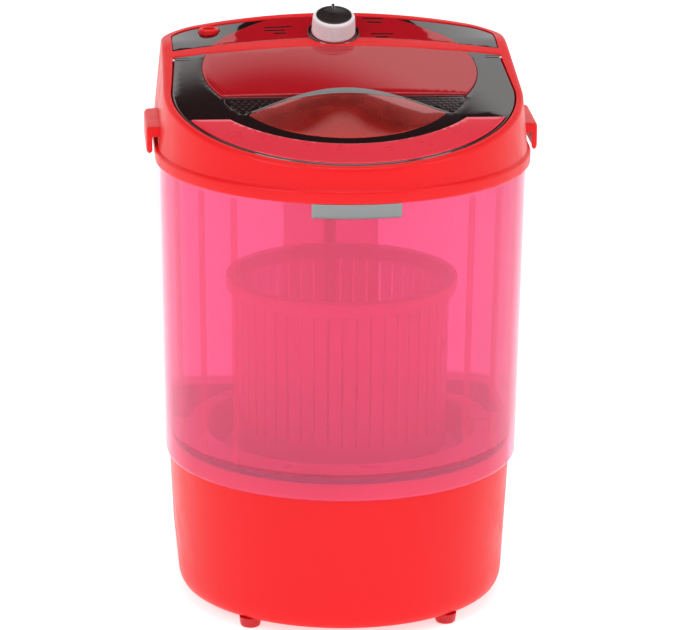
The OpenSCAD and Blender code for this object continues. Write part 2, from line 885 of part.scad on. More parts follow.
module spin_basket() {
    wall_t = 2.2;
    bottom = 145;
    color(pink) difference() {
        union() {
            translate([0, 0, bottom + 5])
                cylinder(h = basket_top_z - bottom - 5, r1 = basket_r - 1.5, r2 = basket_r);
            translate([0, 0, bottom]) cylinder(h = 5, r1 = basket_r - 4, r2 = basket_r - 1.5);
            translate([0, 0, basket_top_z - 14])
                cylinder(h = 14, r1 = basket_rim_r - 1, r2 = basket_rim_r);
        }
        // Inside above the floor
        translate([0, 0, 169]) cylinder(h = 200, r1 = basket_r - 1.2 - wall_t, r2 = basket_r - wall_t);
        // Groove under the rim
        translate([0, 0, basket_top_z - 15]) ring(basket_rim_r - 2.5, basket_r + 0.4, 12);
        // Room for the pulsator under the floor
        translate([0, 0, bottom - 1]) cylinder(h = 22, r = basket_r - 6);
        translate([0, 0, bottom - 1]) cylinder(h = 60, r = 19);
        // Slots
        for (i = [0:slot_count / 2 - 1]) rotate([0, 0, (i + 0.5) * 360 / slot_count])
            translate([-basket_r - 3, -1, 170]) cube([2 * basket_r + 6, 2, 128]);
        // Drain holes in the floor
        for (r = [34, 52, 70, 86], a = [0:30:330]) rotate([0, 0, a + r])
            translate([r, 0, 160]) cylinder(h = 20, r = 3);
    }
    // Hub that drops over the pulsator's boss
    color(pink) difference() {
        translate([0, 0, 166]) cylinder(h = 22, r1 = 23, r2 = 21);
        translate([0, 0, 160]) cylinder(h = 22.5, r = 19);
    }
}

module belt_loop(extra) {
    hull() {
        circle(driven_groove_r + belt_gap + extra);
        translate([0, motor_y]) circle(motor_groove_r + belt_gap + extra);
    }
}

module drive_belt() {
    color("black") translate([0, 0, belt_z]) linear_extrude(belt_h) difference() {
        belt_loop(belt_t);
        belt_loop(0);
    }
}

// ---- Motor ----

module at_motor(z) {
    translate([0, motor_y, z]) children();
}

module at_motor_bolts(z) {
    for (sx = [-1, 1], sy = [-1, 1])
        translate([sx * motor_bolt_x, motor_y + sy * motor_bolt_x, z]) children();
}

module motor_bracket() {
    color("silver") difference() {
        translate([-52, 46, bracket_z]) cube([104, 90.5, bracket_t]);
        at_each(bracket_screws_at, bracket_z - 1) cylinder(h = 10, r = 2.3);
        at_motor_bolts(bracket_z - 1) cylinder(h = 10, r = 2.6);
        at_motor(bracket_z - 1) cylinder(h = 10, r = 22);
    }
}

module bracket_screws() {
    color(steel) at_each(bracket_screws_at, bracket_z) screw_up(2, 9, 4, 2.2);
}

module motor_mounts() {
    color("black") at_motor_bolts(motor_top) ring(8, 2.6, bracket_z - motor_top);
}

module motor_bolts() {
    color(steel) at_motor_bolts(bracket_z + bracket_t) rotate([180, 0, 0]) {
        cylinder(h = 15, r = 2.5);
        translate([0, 0, -3]) cylinder(h = 3, r = 4.5);
    }
}

module motor_case() {
    color("dimgray") difference() {
        at_motor(motor_split) cylinder(h = motor_top - motor_split, r = motor_r);
        at_motor(motor_split - 1) cylinder(h = motor_top - motor_split - 7, r = motor_r - 3);
        at_motor(motor_split - 1) cylinder(h = 24, r = motor_shaft_r + running);
        at_motor_bolts(motor_top - 12) cylinder(h = 20, r = 2.52);
    }
    color("dimgray") at_motor_bolts(motor_split + 8) difference() {
        cylinder(h = 12, r = 5);
        translate([0, 0, 2]) cylinder(h = 20, r = 2.52);
    }
}

module motor_end_cover() {
    color("dimgray") at_motor(motor_bottom) difference() {
        cylinder(h = motor_split - motor_bottom, r = motor_r);
        translate([0, 0, 5]) cylinder(h = 40, r = motor_r - 3);
        translate([0, 0, -1]) cylinder(h = 40, r = motor_shaft_r + running);
        for (a = [0:45:315]) rotate([0, 0, a]) translate([30, 0, -1]) cylinder(h = 10, r = 5);
    }
}

module motor_stator() {
    color("peru") at_motor(84) difference() {
        cylinder(h = 24, r = 38);
        translate([0, 0, -1]) cylinder(h = 26, r = rotor_r + 0.5);
    }
    color("peru") at_motor(88) difference() {
        cylinder(h = 12, r = motor_r - 3.1);
        translate([0, 0, -1]) cylinder(h = 20, r = 37);
    }
}

module motor_rotor_core() {
    color(steel) at_motor(84) ring(rotor_r, motor_shaft_r + 0.02, 24);
}

module motor_shaft() {
    color(steel) at_motor(46) cylinder(h = 76, r = motor_shaft_r);
}

module motor_pulley() {
    color("silver") at_motor(0) pulley(motor_groove_r, motor_shaft_r + 0.02, 12, 48, 69);
}

module capacitor() {
    color("silver") translate([capacitor_place[0], capacitor_place[1], base_bottom_z + plate_t]) {
        cylinder(h = 46, r = capacitor_r);
        for (s = [-1, 1]) translate([s * 5 - 1, -3, 45]) cube([2, 6, 8]);
    }
}

module capacitor_clip() {
    color(steel) translate([capacitor_place[0], capacitor_place[1], 0]) {
        translate([0, 0, 30]) ring(capacitor_r + 1.6, capacitor_r + 0.05, 12);
        translate([capacitor_r + 1.2, -6, base_bottom_z + plate_t]) cube([2, 12, 29]);
    }
}

// ---- Water and wiring ----

module drain_hose() {
    x = drain_place[0];
    y = drain_place[1];
    color("black") difference() {
        union() {
            translate([x, y, drain_z]) cylinder(h = housing_top - drain_z, r = drain_r);
            translate([x, y, housing_top - 3]) cylinder(h = 3, r = 17);
            translate([x, y, drain_z]) sphere(drain_r);
            translate([x, 150, drain_z]) rotate([90, 0, 0]) cylinder(h = 150 - y, r = drain_r);
        }
        translate([x, y, drain_z]) cylinder(h = 110, r = drain_bore);
        translate([x, y, drain_z]) sphere(drain_bore);
        translate([x, 151, drain_z]) rotate([90, 0, 0]) cylinder(h = 151 - y, r = drain_bore);
        translate([x, overflow_place[1], drain_z]) rotate([0, 90, 0])
            cylinder(h = 20, r = overflow_bore);
    }
}

module drain_spigot() {
    color(red) translate([drain_place[0], 150, drain_z]) rotate([-90, 0, 0]) difference() {
        union() {
            cylinder(h = 25, r = drain_r);
            translate([0, 0, back_pad_y - 150]) cylinder(h = 3, r = 18);
        }
        translate([0, 0, -1]) cylinder(h = 30, r = drain_bore);
    }
}

module overflow_pipe() {
    x = overflow_place[0];
    y = overflow_place[1];
    color(red) difference() {
        union() {
            translate([x, y, drain_z]) cylinder(h = ledge_z - floor_t - drain_z, r = overflow_r);
            translate([x, y, drain_z]) sphere(overflow_r);
            translate([drain_place[0], y, drain_z]) rotate([0, 90, 0])
                cylinder(h = x - drain_place[0], r = overflow_r);
        }
        translate([x, y, drain_z]) cylinder(h = 200, r = overflow_bore);
        translate([x, y, drain_z]) sphere(overflow_bore);
        translate([drain_place[0] - 1, y, drain_z]) rotate([0, 90, 0])
            cylinder(h = x - drain_place[0] + 1, r = overflow_bore);
        translate([drain_place[0], 200, drain_z]) rotate([90, 0, 0])
            cylinder(h = 190, r = drain_r + 0.05);
    }
}

module wire_conduit() {
    color([0.9, 0.2, 0.4]) translate([0, conduit_y, 156]) ring(conduit_r, conduit_bore, 310);
}

module wiring_lead() {
    top = 486;
    low = 112;
    r = 2.5;
    color("gray") difference() {
        union() {
            translate([0, conduit_y, low]) cylinder(h = top - low, r = r);
            translate([0, conduit_y, low]) sphere(r);
            translate([0, conduit_y, low]) rotate([90, 0, 0])
                cylinder(h = conduit_y - motor_y - motor_r - 0.05, r = r);
        }
        on_knob() timer_block();
    }
}

module cable_gland() {
    color("black") translate([gland_place[0], back_pad_y, gland_place[1]])
        rotate([-90, 0, 0]) difference() {
            union() {
                translate([0, 0, -10]) cylinder(h = 16, r = 7);
                cylinder(h = 3, r = 11);
                translate([0, 0, -12.4]) cylinder(h = 4.9, r = 9.5);
            }
            translate([0, 0, -20]) cylinder(h = 40, r = 3.5);
        }
}

base_housing();
bottom_plate();
rubber_feet();
foot_screws();
wash_tub();
base_screws();
top_collar();
label_plate();
left_handle();
right_handle();
handle_screws();
overflow_cover();
overflow_pipe();
wire_conduit();
wiring_lead();
splash_tray();
panel_fascia();
panel_window();
knob_bezel();
inlet_port();
timer_body();
hinge_pins();
lid_frame();
lid_window();
lid_grip_dome();
lid_trim_arc();
lid_front_band();
lid_grilles();
timer_shaft();
timer_knob();
knob_cap();
bearing_housing();
housing_screws();
shaft_seal();
upper_bearing();
lower_bearing();
drive_shaft();
pulsator();
pulsator_screw();
pulsator_cap();
driven_pulley();
pulley_nut();
spin_basket();
drive_belt();
motor_bracket();
bracket_screws();
motor_mounts();
motor_bolts();
motor_case();
motor_end_cover();
motor_stator();
motor_rotor_core();
motor_shaft();
motor_pulley();
capacitor();
capacitor_clip();
drain_hose();
drain_spigot();
cable_gland();
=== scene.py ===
"""Looks of the top load washing machine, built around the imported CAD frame.

Lengths in helpers are millimetres.
"""

import json
import math

import bmesh
import bpy
import numpy as np
from mathutils import Matrix, Vector
from mathutils.geometry import delaunay_2d_cdt


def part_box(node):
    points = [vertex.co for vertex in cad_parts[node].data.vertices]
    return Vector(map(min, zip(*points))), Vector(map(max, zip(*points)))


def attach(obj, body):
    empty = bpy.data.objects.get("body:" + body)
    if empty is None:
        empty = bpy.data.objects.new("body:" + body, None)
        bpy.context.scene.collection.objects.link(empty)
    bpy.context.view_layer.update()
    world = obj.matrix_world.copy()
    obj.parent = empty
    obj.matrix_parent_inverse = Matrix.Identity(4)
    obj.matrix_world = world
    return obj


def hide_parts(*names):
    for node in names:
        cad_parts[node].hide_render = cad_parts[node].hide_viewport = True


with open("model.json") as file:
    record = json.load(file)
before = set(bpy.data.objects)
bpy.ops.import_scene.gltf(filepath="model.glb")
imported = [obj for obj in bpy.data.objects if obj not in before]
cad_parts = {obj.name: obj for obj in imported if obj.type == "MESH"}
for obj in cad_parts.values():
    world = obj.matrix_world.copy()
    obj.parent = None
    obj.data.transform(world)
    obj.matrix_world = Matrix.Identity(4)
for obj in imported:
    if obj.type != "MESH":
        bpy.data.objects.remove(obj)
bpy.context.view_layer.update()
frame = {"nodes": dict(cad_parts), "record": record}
NODES = frame["nodes"]
RECORD = frame["record"]
MM = 0.001
JOINTS = {j["name"]: j for j in RECORD["behaviour"]["joints"]}


def span(node):
    """A CAD node's lowest and highest corners, in mm."""
    lo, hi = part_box(node)
    return np.array(lo) / MM, np.array(hi) / MM


# ---------------------------------------------------------------- camera
CAMERA_DISTANCE = 3.624
CAMERA_HEIGHT = 1.332
CAMERA_AZIMUTH = math.radians(-4.5)
CAMERA_PITCH = math.radians(16.32)
CAMERA_ROLL = math.radians(0.45)
CAMERA_SIDE = -0.0013
LENS_MM = 210.65


def make_camera():
    a, p, q = CAMERA_AZIMUTH, CAMERA_PITCH, CAMERA_ROLL
    ahead = Vector((-math.sin(a) * math.cos(p), math.cos(a) * math.cos(p), -math.sin(p)))
    right = Vector((math.cos(a), math.sin(a), 0))
    up = right.cross(ahead)
    right, up = right * math.cos(q) + up * math.sin(q), up * math.cos(q) - right * math.sin(q)
    data = bpy.data.cameras.new("camera")
    data.lens, data.sensor_width = LENS_MM, 36
    data.clip_start, data.clip_end = 0.1, 60
    cam = bpy.data.objects.new("camera", data)
    cam.matrix_world = Matrix((right, up, -ahead)).transposed().to_4x4()
    cam.location = (
        CAMERA_DISTANCE * math.sin(a) + CAMERA_SIDE,
        -CAMERA_DISTANCE * math.cos(a),
        CAMERA_HEIGHT,
    )
    bpy.context.scene.collection.objects.link(cam)
    bpy.context.scene.camera = cam


make_camera()


# ---------------------------------------------------------------- node helpers
def node_tree(name):
    mat = bpy.data.materials.new(name)
    mat.use_nodes = True
    nt = mat.node_tree
    nt.nodes.clear()
    return mat, nt


def add(nt, kind, **settings):
    n = nt.nodes.new(kind)
    for key, value in settings.items():
        setattr(n, key, value)
    return n


def noise(nt, scale, detail=2.0, stretch=(1, 1, 1)):
    """A noise texture in object space, in metres."""
    where = add(nt, "ShaderNodeTexCoord")
    mapping = add(nt, "ShaderNodeMapping")
    mapping.inputs["Scale"].default_value = stretch
    tex = add(nt, "ShaderNodeTexNoise")
    tex.inputs["Scale"].default_value = scale
    tex.inputs["Detail"].default_value = detail
    nt.links.new(where.outputs["Object"], mapping.inputs["Vector"])
    nt.links.new(mapping.outputs["Vector"], tex.inputs["Vector"])
    return tex.outputs["Fac"]


def ramp(nt, source, stops):
    r = add(nt, "ShaderNodeValToRGB")
    while len(r.color_ramp.elements) < len(stops):
        r.color_ramp.elements.new(0.5)
    for e, (at, colour) in zip(r.color_ramp.elements, stops):
        e.position = at
        e.color = (*colour, 1) if len(colour) == 3 else colour
    nt.links.new(source, r.inputs["Fac"])
    return r.outputs["Color"]


def shades(colour, spread):
    """Three close shades of a colour as ramp stops."""
    low = [c * (1 - spread) for c in colour]
    high = [min(1.0, c * (1 + spread)) for c in colour]
    return [(0.3, low), (0.5, colour), (0.7, high)]


def spread_between(nt, source, low, high):
    m = add(nt, "ShaderNodeMapRange")
    m.inputs["From Min"].default_value = 0.3
    m.inputs["From Max"].default_value = 0.7
    m.inputs["To Min"].default_value = low
    m.inputs["To Max"].default_value = high
    nt.links.new(source, m.inputs["Value"])
    return m.outputs["Result"]


def bump(nt, source, strength, distance):
    b = add(nt, "ShaderNodeBump")
    b.inputs["Strength"].default_value = strength
    b.inputs["Distance"].default_value = distance
    nt.links.new(source, b.inputs["Height"])
    return b.outputs["Normal"]


def principled(nt, colour, rough, spread=0.05, metallic=0.0, coat=0.0, ior=1.5, grain=0.0,
               grain_scale=900, stretch=(1, 1, 1), coat_ior=1.5, mottle=7, coat_rough=0.03,
               specular=0.5):
    """A Principled shader with a little variation in colour, gloss and relief."""
    s = add(nt, "ShaderNodeBsdfPrincipled")
    nt.links.new(ramp(nt, noise(nt, mottle, 3), shades(colour, spread)), s.inputs["Base Color"])
    nt.links.new(
        spread_between(nt, noise(nt, 45, 4, stretch), rough * 0.85, min(1, rough * 1.2)),
        s.inputs["Roughness"],
    )
    s.inputs["Metallic"].default_value = metallic
    s.inputs["IOR"].default_value = ior
    s.inputs["Specular IOR Level"].default_value = specular
    s.inputs["Coat Weight"].default_value = coat
    s.inputs["Coat IOR"].default_value = coat_ior
    s.inputs["Coat Roughness"].default_value = coat_rough
    if grain:
        nt.links.new(
            bump(nt, noise(nt, grain_scale, 2, stretch), grain, 0.0002), s.inputs["Normal"]
        )
    return s


def solid(name, colour, rough, **more):
    mat, nt = node_tree(name)
    out = add(nt, "ShaderNodeOutputMaterial")
    nt.links.new(principled(nt, colour, rough, **more).outputs["BSDF"], out.inputs["Surface"])
    return mat


def translucent(name, colour, tint, haze, rough, slant=0.3, spread=0.04, glow=0.0):
    """Tinted clear plastic, part milky, with a glossy skin. It looks denser at a slant."""
    mat, nt = node_tree(name)
    out = add(nt, "ShaderNodeOutputMaterial")
    clear = add(nt, "ShaderNodeBsdfTransparent")
    nt.links.new(ramp(nt, noise(nt, 5, 2), shades(tint, 0.02)), clear.inputs["Color"])
    milky = principled(nt, colour, rough, spread=spread)
    if glow:
        milky.inputs["Emission Color"].default_value = (*colour, 1)
        milky.inputs["Emission Strength"].default_value = glow
    turned = add(nt, "ShaderNodeLayerWeight")
    turned.inputs["Blend"].default_value = 0.5
    dense = [(0.0, (haze,) * 3), (0.6, (haze * 1.15,) * 3), (0.95, (min(1, haze + slant),) * 3)]
    body = add(nt, "ShaderNodeMixShader")
    nt.links.new(ramp(nt, turned.outputs["Facing"], dense), body.inputs[0])
    nt.links.new(clear.outputs[0], body.inputs[1])
    nt.links.new(milky.outputs[0], body.inputs[2])
    skin = add(nt, "ShaderNodeBsdfGlossy")
    skin.inputs["Roughness"].default_value = 0.06
    nt.links.new(ramp(nt, noise(nt, 9, 2), shades((0.95, 0.93, 0.95), 0.02)), skin.inputs["Color"])
    grazing = [(0.0, (0.03,) * 3), (0.5, (0.05,) * 3), (0.72, (0.12,) * 3), (0.88, (0.32,) * 3)]
    grazing.append((1.0, (0.8,) * 3))
    both = add(nt, "ShaderNodeMixShader")
    nt.links.new(ramp(nt, turned.outputs["Facing"], grazing), both.inputs[0])
    nt.links.new(body.outputs[0], both.inputs[1])
    nt.links.new(skin.outputs[0], both.inputs[2])
    nt.links.new(both.outputs[0], out.inputs["Surface"])
    return mat


MATS = {
    "red_plastic": solid("red_plastic", (0.80, 0.006, 0.009), 0.34, specular=0.25, spread=0.02),
    "base_plastic": solid("base_plastic", (0.80, 0.009, 0.022), 0.42, specular=0.25, spread=0.02),
    "foot_rubber": solid("foot_rubber", (0.55, 0.008, 0.015), 0.35, specular=0.4),
    "tub_plastic": translucent(
        "tub_plastic", (0.95, 0.06, 0.24), (1.0, 0.56, 0.74), 0.22, 0.2
    ),
    "conduit_plastic": translucent(
        "conduit_plastic", (0.95, 0.02, 0.10), (1.0, 0.35, 0.5), 0.4, 0.3
    ),
    "basket_plastic": translucent(
        "basket_plastic", (1.0, 0.10, 0.34), (1.0, 0.66, 0.84), 0.42, 0.3
    ),
    "pulsator_plastic": solid("pulsator_plastic", (0.95, 0.12, 0.35), 0.3),
    "smoked_plastic": solid(
        "smoked_plastic", (0.012, 0.0008, 0.0014), 0.3, specular=0.0, coat=1.0, coat_ior=1.9
    ),
    "red_clear": solid(
        "red_clear", (0.44, 0.005, 0.012), 0.3, specular=0.0, coat=0.6, coat_ior=1.9
    ),
    "metallic_red": solid(
        "metallic_red", (0.62, 0.012, 0.004), 0.26, metallic=0.9, coat=1.0, spread=0.02,
    ),
    "front_band_red": solid(
        "front_band_red", (0.82, 0.012, 0.04), 0.3, specular=0.2, coat=1.0, coat_ior=1.5
    ),
    "silver_trim": solid(
        "silver_trim", (0.26, 0.27, 0.27), 0.34, metallic=1.0, stretch=(1, 25, 25), grain=0.12
    ),
    "knob_white": solid("knob_white", (0.85, 0.78, 0.82), 0.35, grain=0.05),
    "steel": solid("steel", (0.62, 0.63, 0.65), 0.28, metallic=1.0, grain=0.1),
    "cast_aluminium": solid("cast_aluminium", (0.66, 0.67, 0.69), 0.42, metallic=1.0, grain=0.4),
    "black_rubber": solid("black_rubber", (0.03, 0.03, 0.03), 0.6, grain=0.3),
    "motor_grey": solid("motor_grey", (0.19, 0.20, 0.21), 0.4, grain=0.15),
    "copper_winding": solid(
        "copper_winding", (0.72, 0.30, 0.12), 0.35, metallic=0.9, grain=0.5, stretch=(1, 1, 30)
    ),
    "timer_grey": solid("timer_grey", (0.33, 0.33, 0.34), 0.5, grain=0.2),
}
TUB_FLOOR = translucent("tub_floor", (0.97, 0.07, 0.27), (1.0, 0.35, 0.55), 0.8, 0.3)
CAP_DARK = solid("cap_dark", (0.012, 0.003, 0.003), 0.3, specular=0.2, coat=1.0)
SLOTS = {s["node"]: s["material_slot"] for s in RECORD["subparts"]}
for node_name, node_object in NODES.items():
    node_object.data.materials.clear()
    node_object.data.materials.append(MATS[SLOTS[node_name]])


# ---------------------------------------------------------------- mesh helpers
LEAN = math.radians(34)


def build(name, verts, faces, body, slot, stands_for=(), mat=None, place=None, keep_sharp=LEAN):
    """A piece from points in mm, riding on a body. place carries local points into the row frame."""
    me = bpy.data.meshes.new(name)
    pts = np.asarray(verts, float) * MM
    me.from_pydata([tuple(p) for p in pts], [], [tuple(int(i) for i in f) for f in faces])
    bm = bmesh.new()
    bm.from_mesh(me)
    bmesh.ops.remove_doubles(bm, verts=bm.verts, dist=2e-6)
    bmesh.ops.dissolve_degenerate(bm, dist=1e-6, edges=bm.edges)
    bmesh.ops.recalc_face_normals(bm, faces=bm.faces)
    for f in bm.faces:
        f.smooth = True
    for e in bm.edges:
        e.smooth = not (len(e.link_faces) == 2 and e.calc_face_angle(0) > keep_sharp)
    bm.to_mesh(me)
    bm.free()
    if place is not None:
        me.transform(place)
    obj = bpy.data.objects.new(name, me)
    bpy.context.scene.collection.objects.link(obj)
    obj.data.materials.append(mat or MATS[slot])
    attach(obj, body)
    if stands_for:
        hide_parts(*stands_for)
    even_out = obj.modifiers.new("flat_faces_first", "WEIGHTED_NORMAL")
    even_out.keep_sharp = True
    even_out.weight = 80
    return obj


class Shape:
    """Points and faces gathered from several closed parts."""

    def __init__(self):
        self.v, self.f = [], []

    def put(self, verts, faces):
        base = len(self.v)
        self.v += [tuple(map(float, p)) for p in verts]
        self.f += [tuple(base + i for i in f) for f in faces]

    def rings(self, rings, closed=True, cap_first=False, cap_last=False):
        """Quads between rings of equal count. closed joins the last ring to the first."""
        n, count = len(rings[0]), len(rings)
        verts = [p for ring in rings for p in ring]
        faces = []
        for i in range(count if closed else count - 1):
            a, b = i * n, ((i + 1) % count) * n
            faces += [(a + k, a + (k + 1) % n, b + (k + 1) % n, b + k) for k in range(n)]
        if cap_first:
            faces.append(tuple(range(n - 1, -1, -1)))
        if cap_last:
            faces.append(tuple((count - 1) * n + k for k in range(n)))
        self.put(verts, faces)

    def turned(self, profile, steps=96, centre=(0, 0), closed=True, cap=False, place=None):
        """Profile points (r, z) turned about the vertical through centre."""
        rings = []
        for r, z in profile:
            a = np.arange(steps) * 2 * math.pi / steps
            ring = np.c_[centre[0] + r * np.cos(a), centre[1] + r * np.sin(a), np.full(steps, z)]
            if place is not None:
                ring = ring @ np.array(place.to_3x3()).T + np.array(place.translation)
            rings.append(ring)
        self.rings(rings, closed=closed, cap_first=cap, cap_last=cap)


def arc(cx, cy, r, a0, a1, n):
    a = np.radians(np.linspace(a0, a1, n))
    return np.c_[cx + r * np.cos(a), cy + r * np.sin(a)]


def inset(points, d):
    """A closed outline (anticlockwise) moved inwards by d, with mitred corners."""
    p = np.asarray(points, float)
    back, ahead = p - np.roll(p, 1, 0), np.roll(p, -1, 0) - p
    back /= np.linalg.norm(back, axis=1)[:, None] + 1e-12
    ahead /= np.linalg.norm(ahead, axis=1)[:, None] + 1e-12
    n1, n2 = np.c_[-back[:, 1], back[:, 0]], np.c_[-ahead[:, 1], ahead[:, 0]]
    mid = n1 + n2
    mid /= np.linalg.norm(mid, axis=1)[:, None] + 1e-12
    share = np.clip((mid * n1).sum(1), 0.45, 1)
    return p + mid * (d / share)[:, None]


def even(points, step):
    """A closed outline with its points spaced evenly, about step apart, corners kept."""
    p = np.asarray(points, float)
    out = []
    for a, b in zip(p, np.roll(p, -1, 0)):
        n = max(1, round(np.linalg.norm(b - a) / step))
        out += [a + (b - a) * i / n for i in range(n)]
    return np.array(out)


def area(points):
    x, y = np.asarray(points, float).T
    return 0.5 * float(np.sum(x * np.roll(y, -1) - y * np.roll(x, -1)))


def inside(points, outline):
    """Which points lie inside a closed outline."""
    x, y = np.asarray(points, float).T
    hit = np.zeros(len(x), bool)
    p = np.asarray(outline, float)
    for (x1, y1), (x2, y2) in zip(p, np.roll(p, -1, 0)):
        cross = (y1 > y) != (y2 > y)
        with np.errstate(divide="ignore", invalid="ignore"):
            hit ^= cross & (x < (x2 - x1) * (y - y1) / (y2 - y1 + 1e-30) + x1)
    return hit


def clear_of(points, outline, gap):
    """Which points are at least gap from an outline's corners and sides."""
    pts, p = np.asarray(points, float), even(outline, gap * 0.7)
    far = np.ones(len(pts), bool)
    for q in p:
        far &= ((pts - q) ** 2).sum(1) > gap * gap
    return far


def sheet_between(outline, holes, grid):
    """Points and triangles that fill an outline less its holes, with a grid inside."""
    loops = [np.asarray(o, float) for o in [outline, *holes]]
    pts, edges = [], []
    for loop in loops:
        base = len(pts)
        pts += [tuple(p) for p in loop]
        edges += [(base + i, base + (i + 1) % len(loop)) for i in range(len(loop))]
    lo, hi = loops[0].min(0), loops[0].max(0)
    xs = np.arange(lo[0] + grid / 2, hi[0], grid)
    ys = np.arange(lo[1] + grid / 2, hi[1], grid)
    gx, gy = np.meshgrid(xs, ys)
    gx[1::2] += grid / 2
    cand = np.c_[gx.ravel(), gy.ravel()]
    cand = cand[inside(cand, loops[0]) & clear_of(cand, loops[0], grid * 0.6)]
    for h in loops[1:]:
        cand = cand[~inside(cand, h) & clear_of(cand, h, grid * 0.6)]
    pts += [tuple(p) for p in cand]
    verts, _, faces, _, _, _ = delaunay_2d_cdt(
        [Vector(p) for p in pts], edges, [], 0, 1e-4
    )
    v = np.array([tuple(p) for p in verts])
    f = np.array([f for f in faces if len(f) == 3])
    mid = v[f].mean(1)
    keep = inside(mid, loops[0])
    for h in loops[1:]:
        keep &= ~inside(mid, h)
    return v, f[keep]


def lifted(pts, height):
    pts = np.asarray(pts, float)
    return np.c_[pts, height(pts[:, 0], pts[:, 1])]


ROUND_STEPS = 4


def plate(shape, outline, top, bottom, edge=0.8, holes=(), grid=6.0, hole_edge=None):
    """A closed plate between two heights over the plan, with rounded upper edges."""
    outer = np.asarray(outline, float)
    if area(outer) < 0:
        outer = outer[::-1]
    inner = []
    for h in holes:
        h = np.asarray(h, float)
        inner.append(h[::-1] if area(h) < 0 else h)
    hole_edge = edge if hole_edge is None else hole_edge
    turns = np.linspace(0, math.pi / 2, ROUND_STEPS + 1)
    v, f = sheet_between(inset(outer, edge), [inset(h, -hole_edge) for h in inner], grid)
    shape.put(lifted(v, top), f)
    v, f = sheet_between(outer, inner, grid * 2)
    shape.put(lifted(v, bottom), f[:, ::-1])
    for loop, e, sign in [(outer, edge, 1)] + [(h, hole_edge, -1) for h in inner]:
        rings = []
        for t in turns:
            pts = inset(loop, sign * e * (1 - math.sin(t)))
            ring = lifted(pts, top)
            ring[:, 2] -= e * (1 - math.cos(t))
            rings.append(ring)
        rings.append(lifted(loop, bottom))
        shape.rings(rings, closed=False)


# ---------------------------------------------------------------- plan of the body
CORNER = 132.0  # middle of the round rear corners in part.scad, mm


def dee(r, front=128, corner=14, back=26, side=12):
    """The body's plan, anticlockwise: round front, straight sides, flat back with round corners."""
    right = np.c_[np.full(side, r), np.linspace(0, CORNER, side, endpoint=False)]
    c1 = arc(CORNER, CORNER, r - CORNER, 0, 90, corner)[:-1]
    flat = np.c_[np.linspace(CORNER, -CORNER, back, endpoint=False), np.full(back, r)]
    c2 = arc(-CORNER, CORNER, r - CORNER, 90, 180, corner)[:-1]
    left = np.c_[np.full(side, -r), np.linspace(CORNER, 0, side, endpoint=False)]
    bow = arc(0, 0, r, 180, 360, front + 1)[:-1]
    return np.concatenate([right, c1, flat, c2, left, bow])


def at_height(plan, z):
    return np.c_[plan, np.full(len(plan), z)]


def dee_ring(r, z):
    return at_height(dee(r), z)


def circle_ring(r, z, centre=(0, 0)):
    """A ring with as many points as the plan, each in the same direction as its partner."""
    a = np.arctan2(*dee(160.0).T[::-1])
    return np.c_[centre[0] + r * np.cos(a), centre[1] + r * np.sin(a), np.full(len(a), z)]


# ---------------------------------------------------------------- base
base_lo, base_hi = span("base_housing")
tub_lo, tub_hi = span("wash_tub")
BASE_R = base_hi[0]
BASE_Z = base_lo[2]
JOINT_Z = tub_lo[2] + 6
TUB_R, TUB_TOP = tub_hi[0], tub_hi[2]
RIM_TOP = base_hi[2]


def make_base():
    s = Shape()
    profile = [(146.5, BASE_Z), (149.0, BASE_Z + 0.3)]
    profile += [(151.2, BASE_Z + 2), (153.2, BASE_Z + 5.5), (154.6, BASE_Z + 10)]
    profile += [(155.4, BASE_Z + 17), (156.0, BASE_Z + 30)]
    profile += [
        (156.0 + (BASE_R - 156.0) * (z - 40) / (JOINT_Z - 40), z)
        for z in np.linspace(52, JOINT_Z - 1.4, 9)
    ]
    profile += [(BASE_R - 0.3, JOINT_Z - 0.4), (BASE_R - 1.0, JOINT_Z)]
    profile += [(BASE_R - 1.1, RIM_TOP - 1.5), (BASE_R - 1.6, RIM_TOP - 0.3)]
    profile += [(BASE_R - 3.0, RIM_TOP), (BASE_R - 4.0, RIM_TOP - 1), (BASE_R - 4.2, JOINT_Z)]
    profile += [(153.0, 40), (151.5, 24), (147.0, BASE_Z + 3), (146.0, BASE_Z + 1)]
    s.rings([dee_ring(r, z) for r, z in profile])
    base = build("base_shell", s.v, s.f, "root", "red_plastic", ["base_housing"])
    pads = Shape()
    for node in ("drain_spigot", "cable_gland"):
        lo, hi = span(node)
        x, z, r = (lo[0] + hi[0]) / 2, (lo[2] + hi[2]) / 2, (hi[0] - lo[0]) / 2 + 2.4
        turn = Matrix.Translation((x, 152.0, z)) @ Matrix.Rotation(math.radians(-90), 4, "X")
        pads.turned(
            [(r - 5, 0), (r, 0), (r, 6.2), (r - 0.8, 7), (r - 5, 7)], steps=64, place=turn
        )
    build("back_pads", pads.v, pads.f, "root", "red_plastic")
    return base


def make_feet():
    s = Shape()
    lo, hi = span("rubber_feet")
    half = 10.5
    places = [(-92.0, -108.0), (92.0, -108.0), (lo[0] + half, hi[1] - half), (hi[0] - half, hi[1] - half)]
    profile = [(5, 3.6), (5, 0.6), (5.6, 0), (7.6, 0), (8.6, 0.5), (9.4, 1.6), (9.8, 3.5)]
    profile += [(10.2, 7), (half, 9.6), (9.5, 10), (2.4, 10), (2.4, 3.6)]
    for x, y in places:
        s.turned([(r, lo[2] + z) for r, z in profile], steps=40, centre=(x, y))
    build("feet", s.v, s.f, "root", "foot_rubber", ["rubber_feet"])


make_base()
make_feet()

# ---------------------------------------------------------------- tub
LEDGE_Z = 165.0
FLOOR_R = 155.0
TUB_WALL = 2.6
TUB_LOW_R = 166.8
RIB_ANGLES = (40.4, 54.8, 70.5)


def tub_r(z):
    return TUB_LOW_R + (TUB_R - TUB_LOW_R) * (z - JOINT_Z) / (TUB_TOP - JOINT_Z)


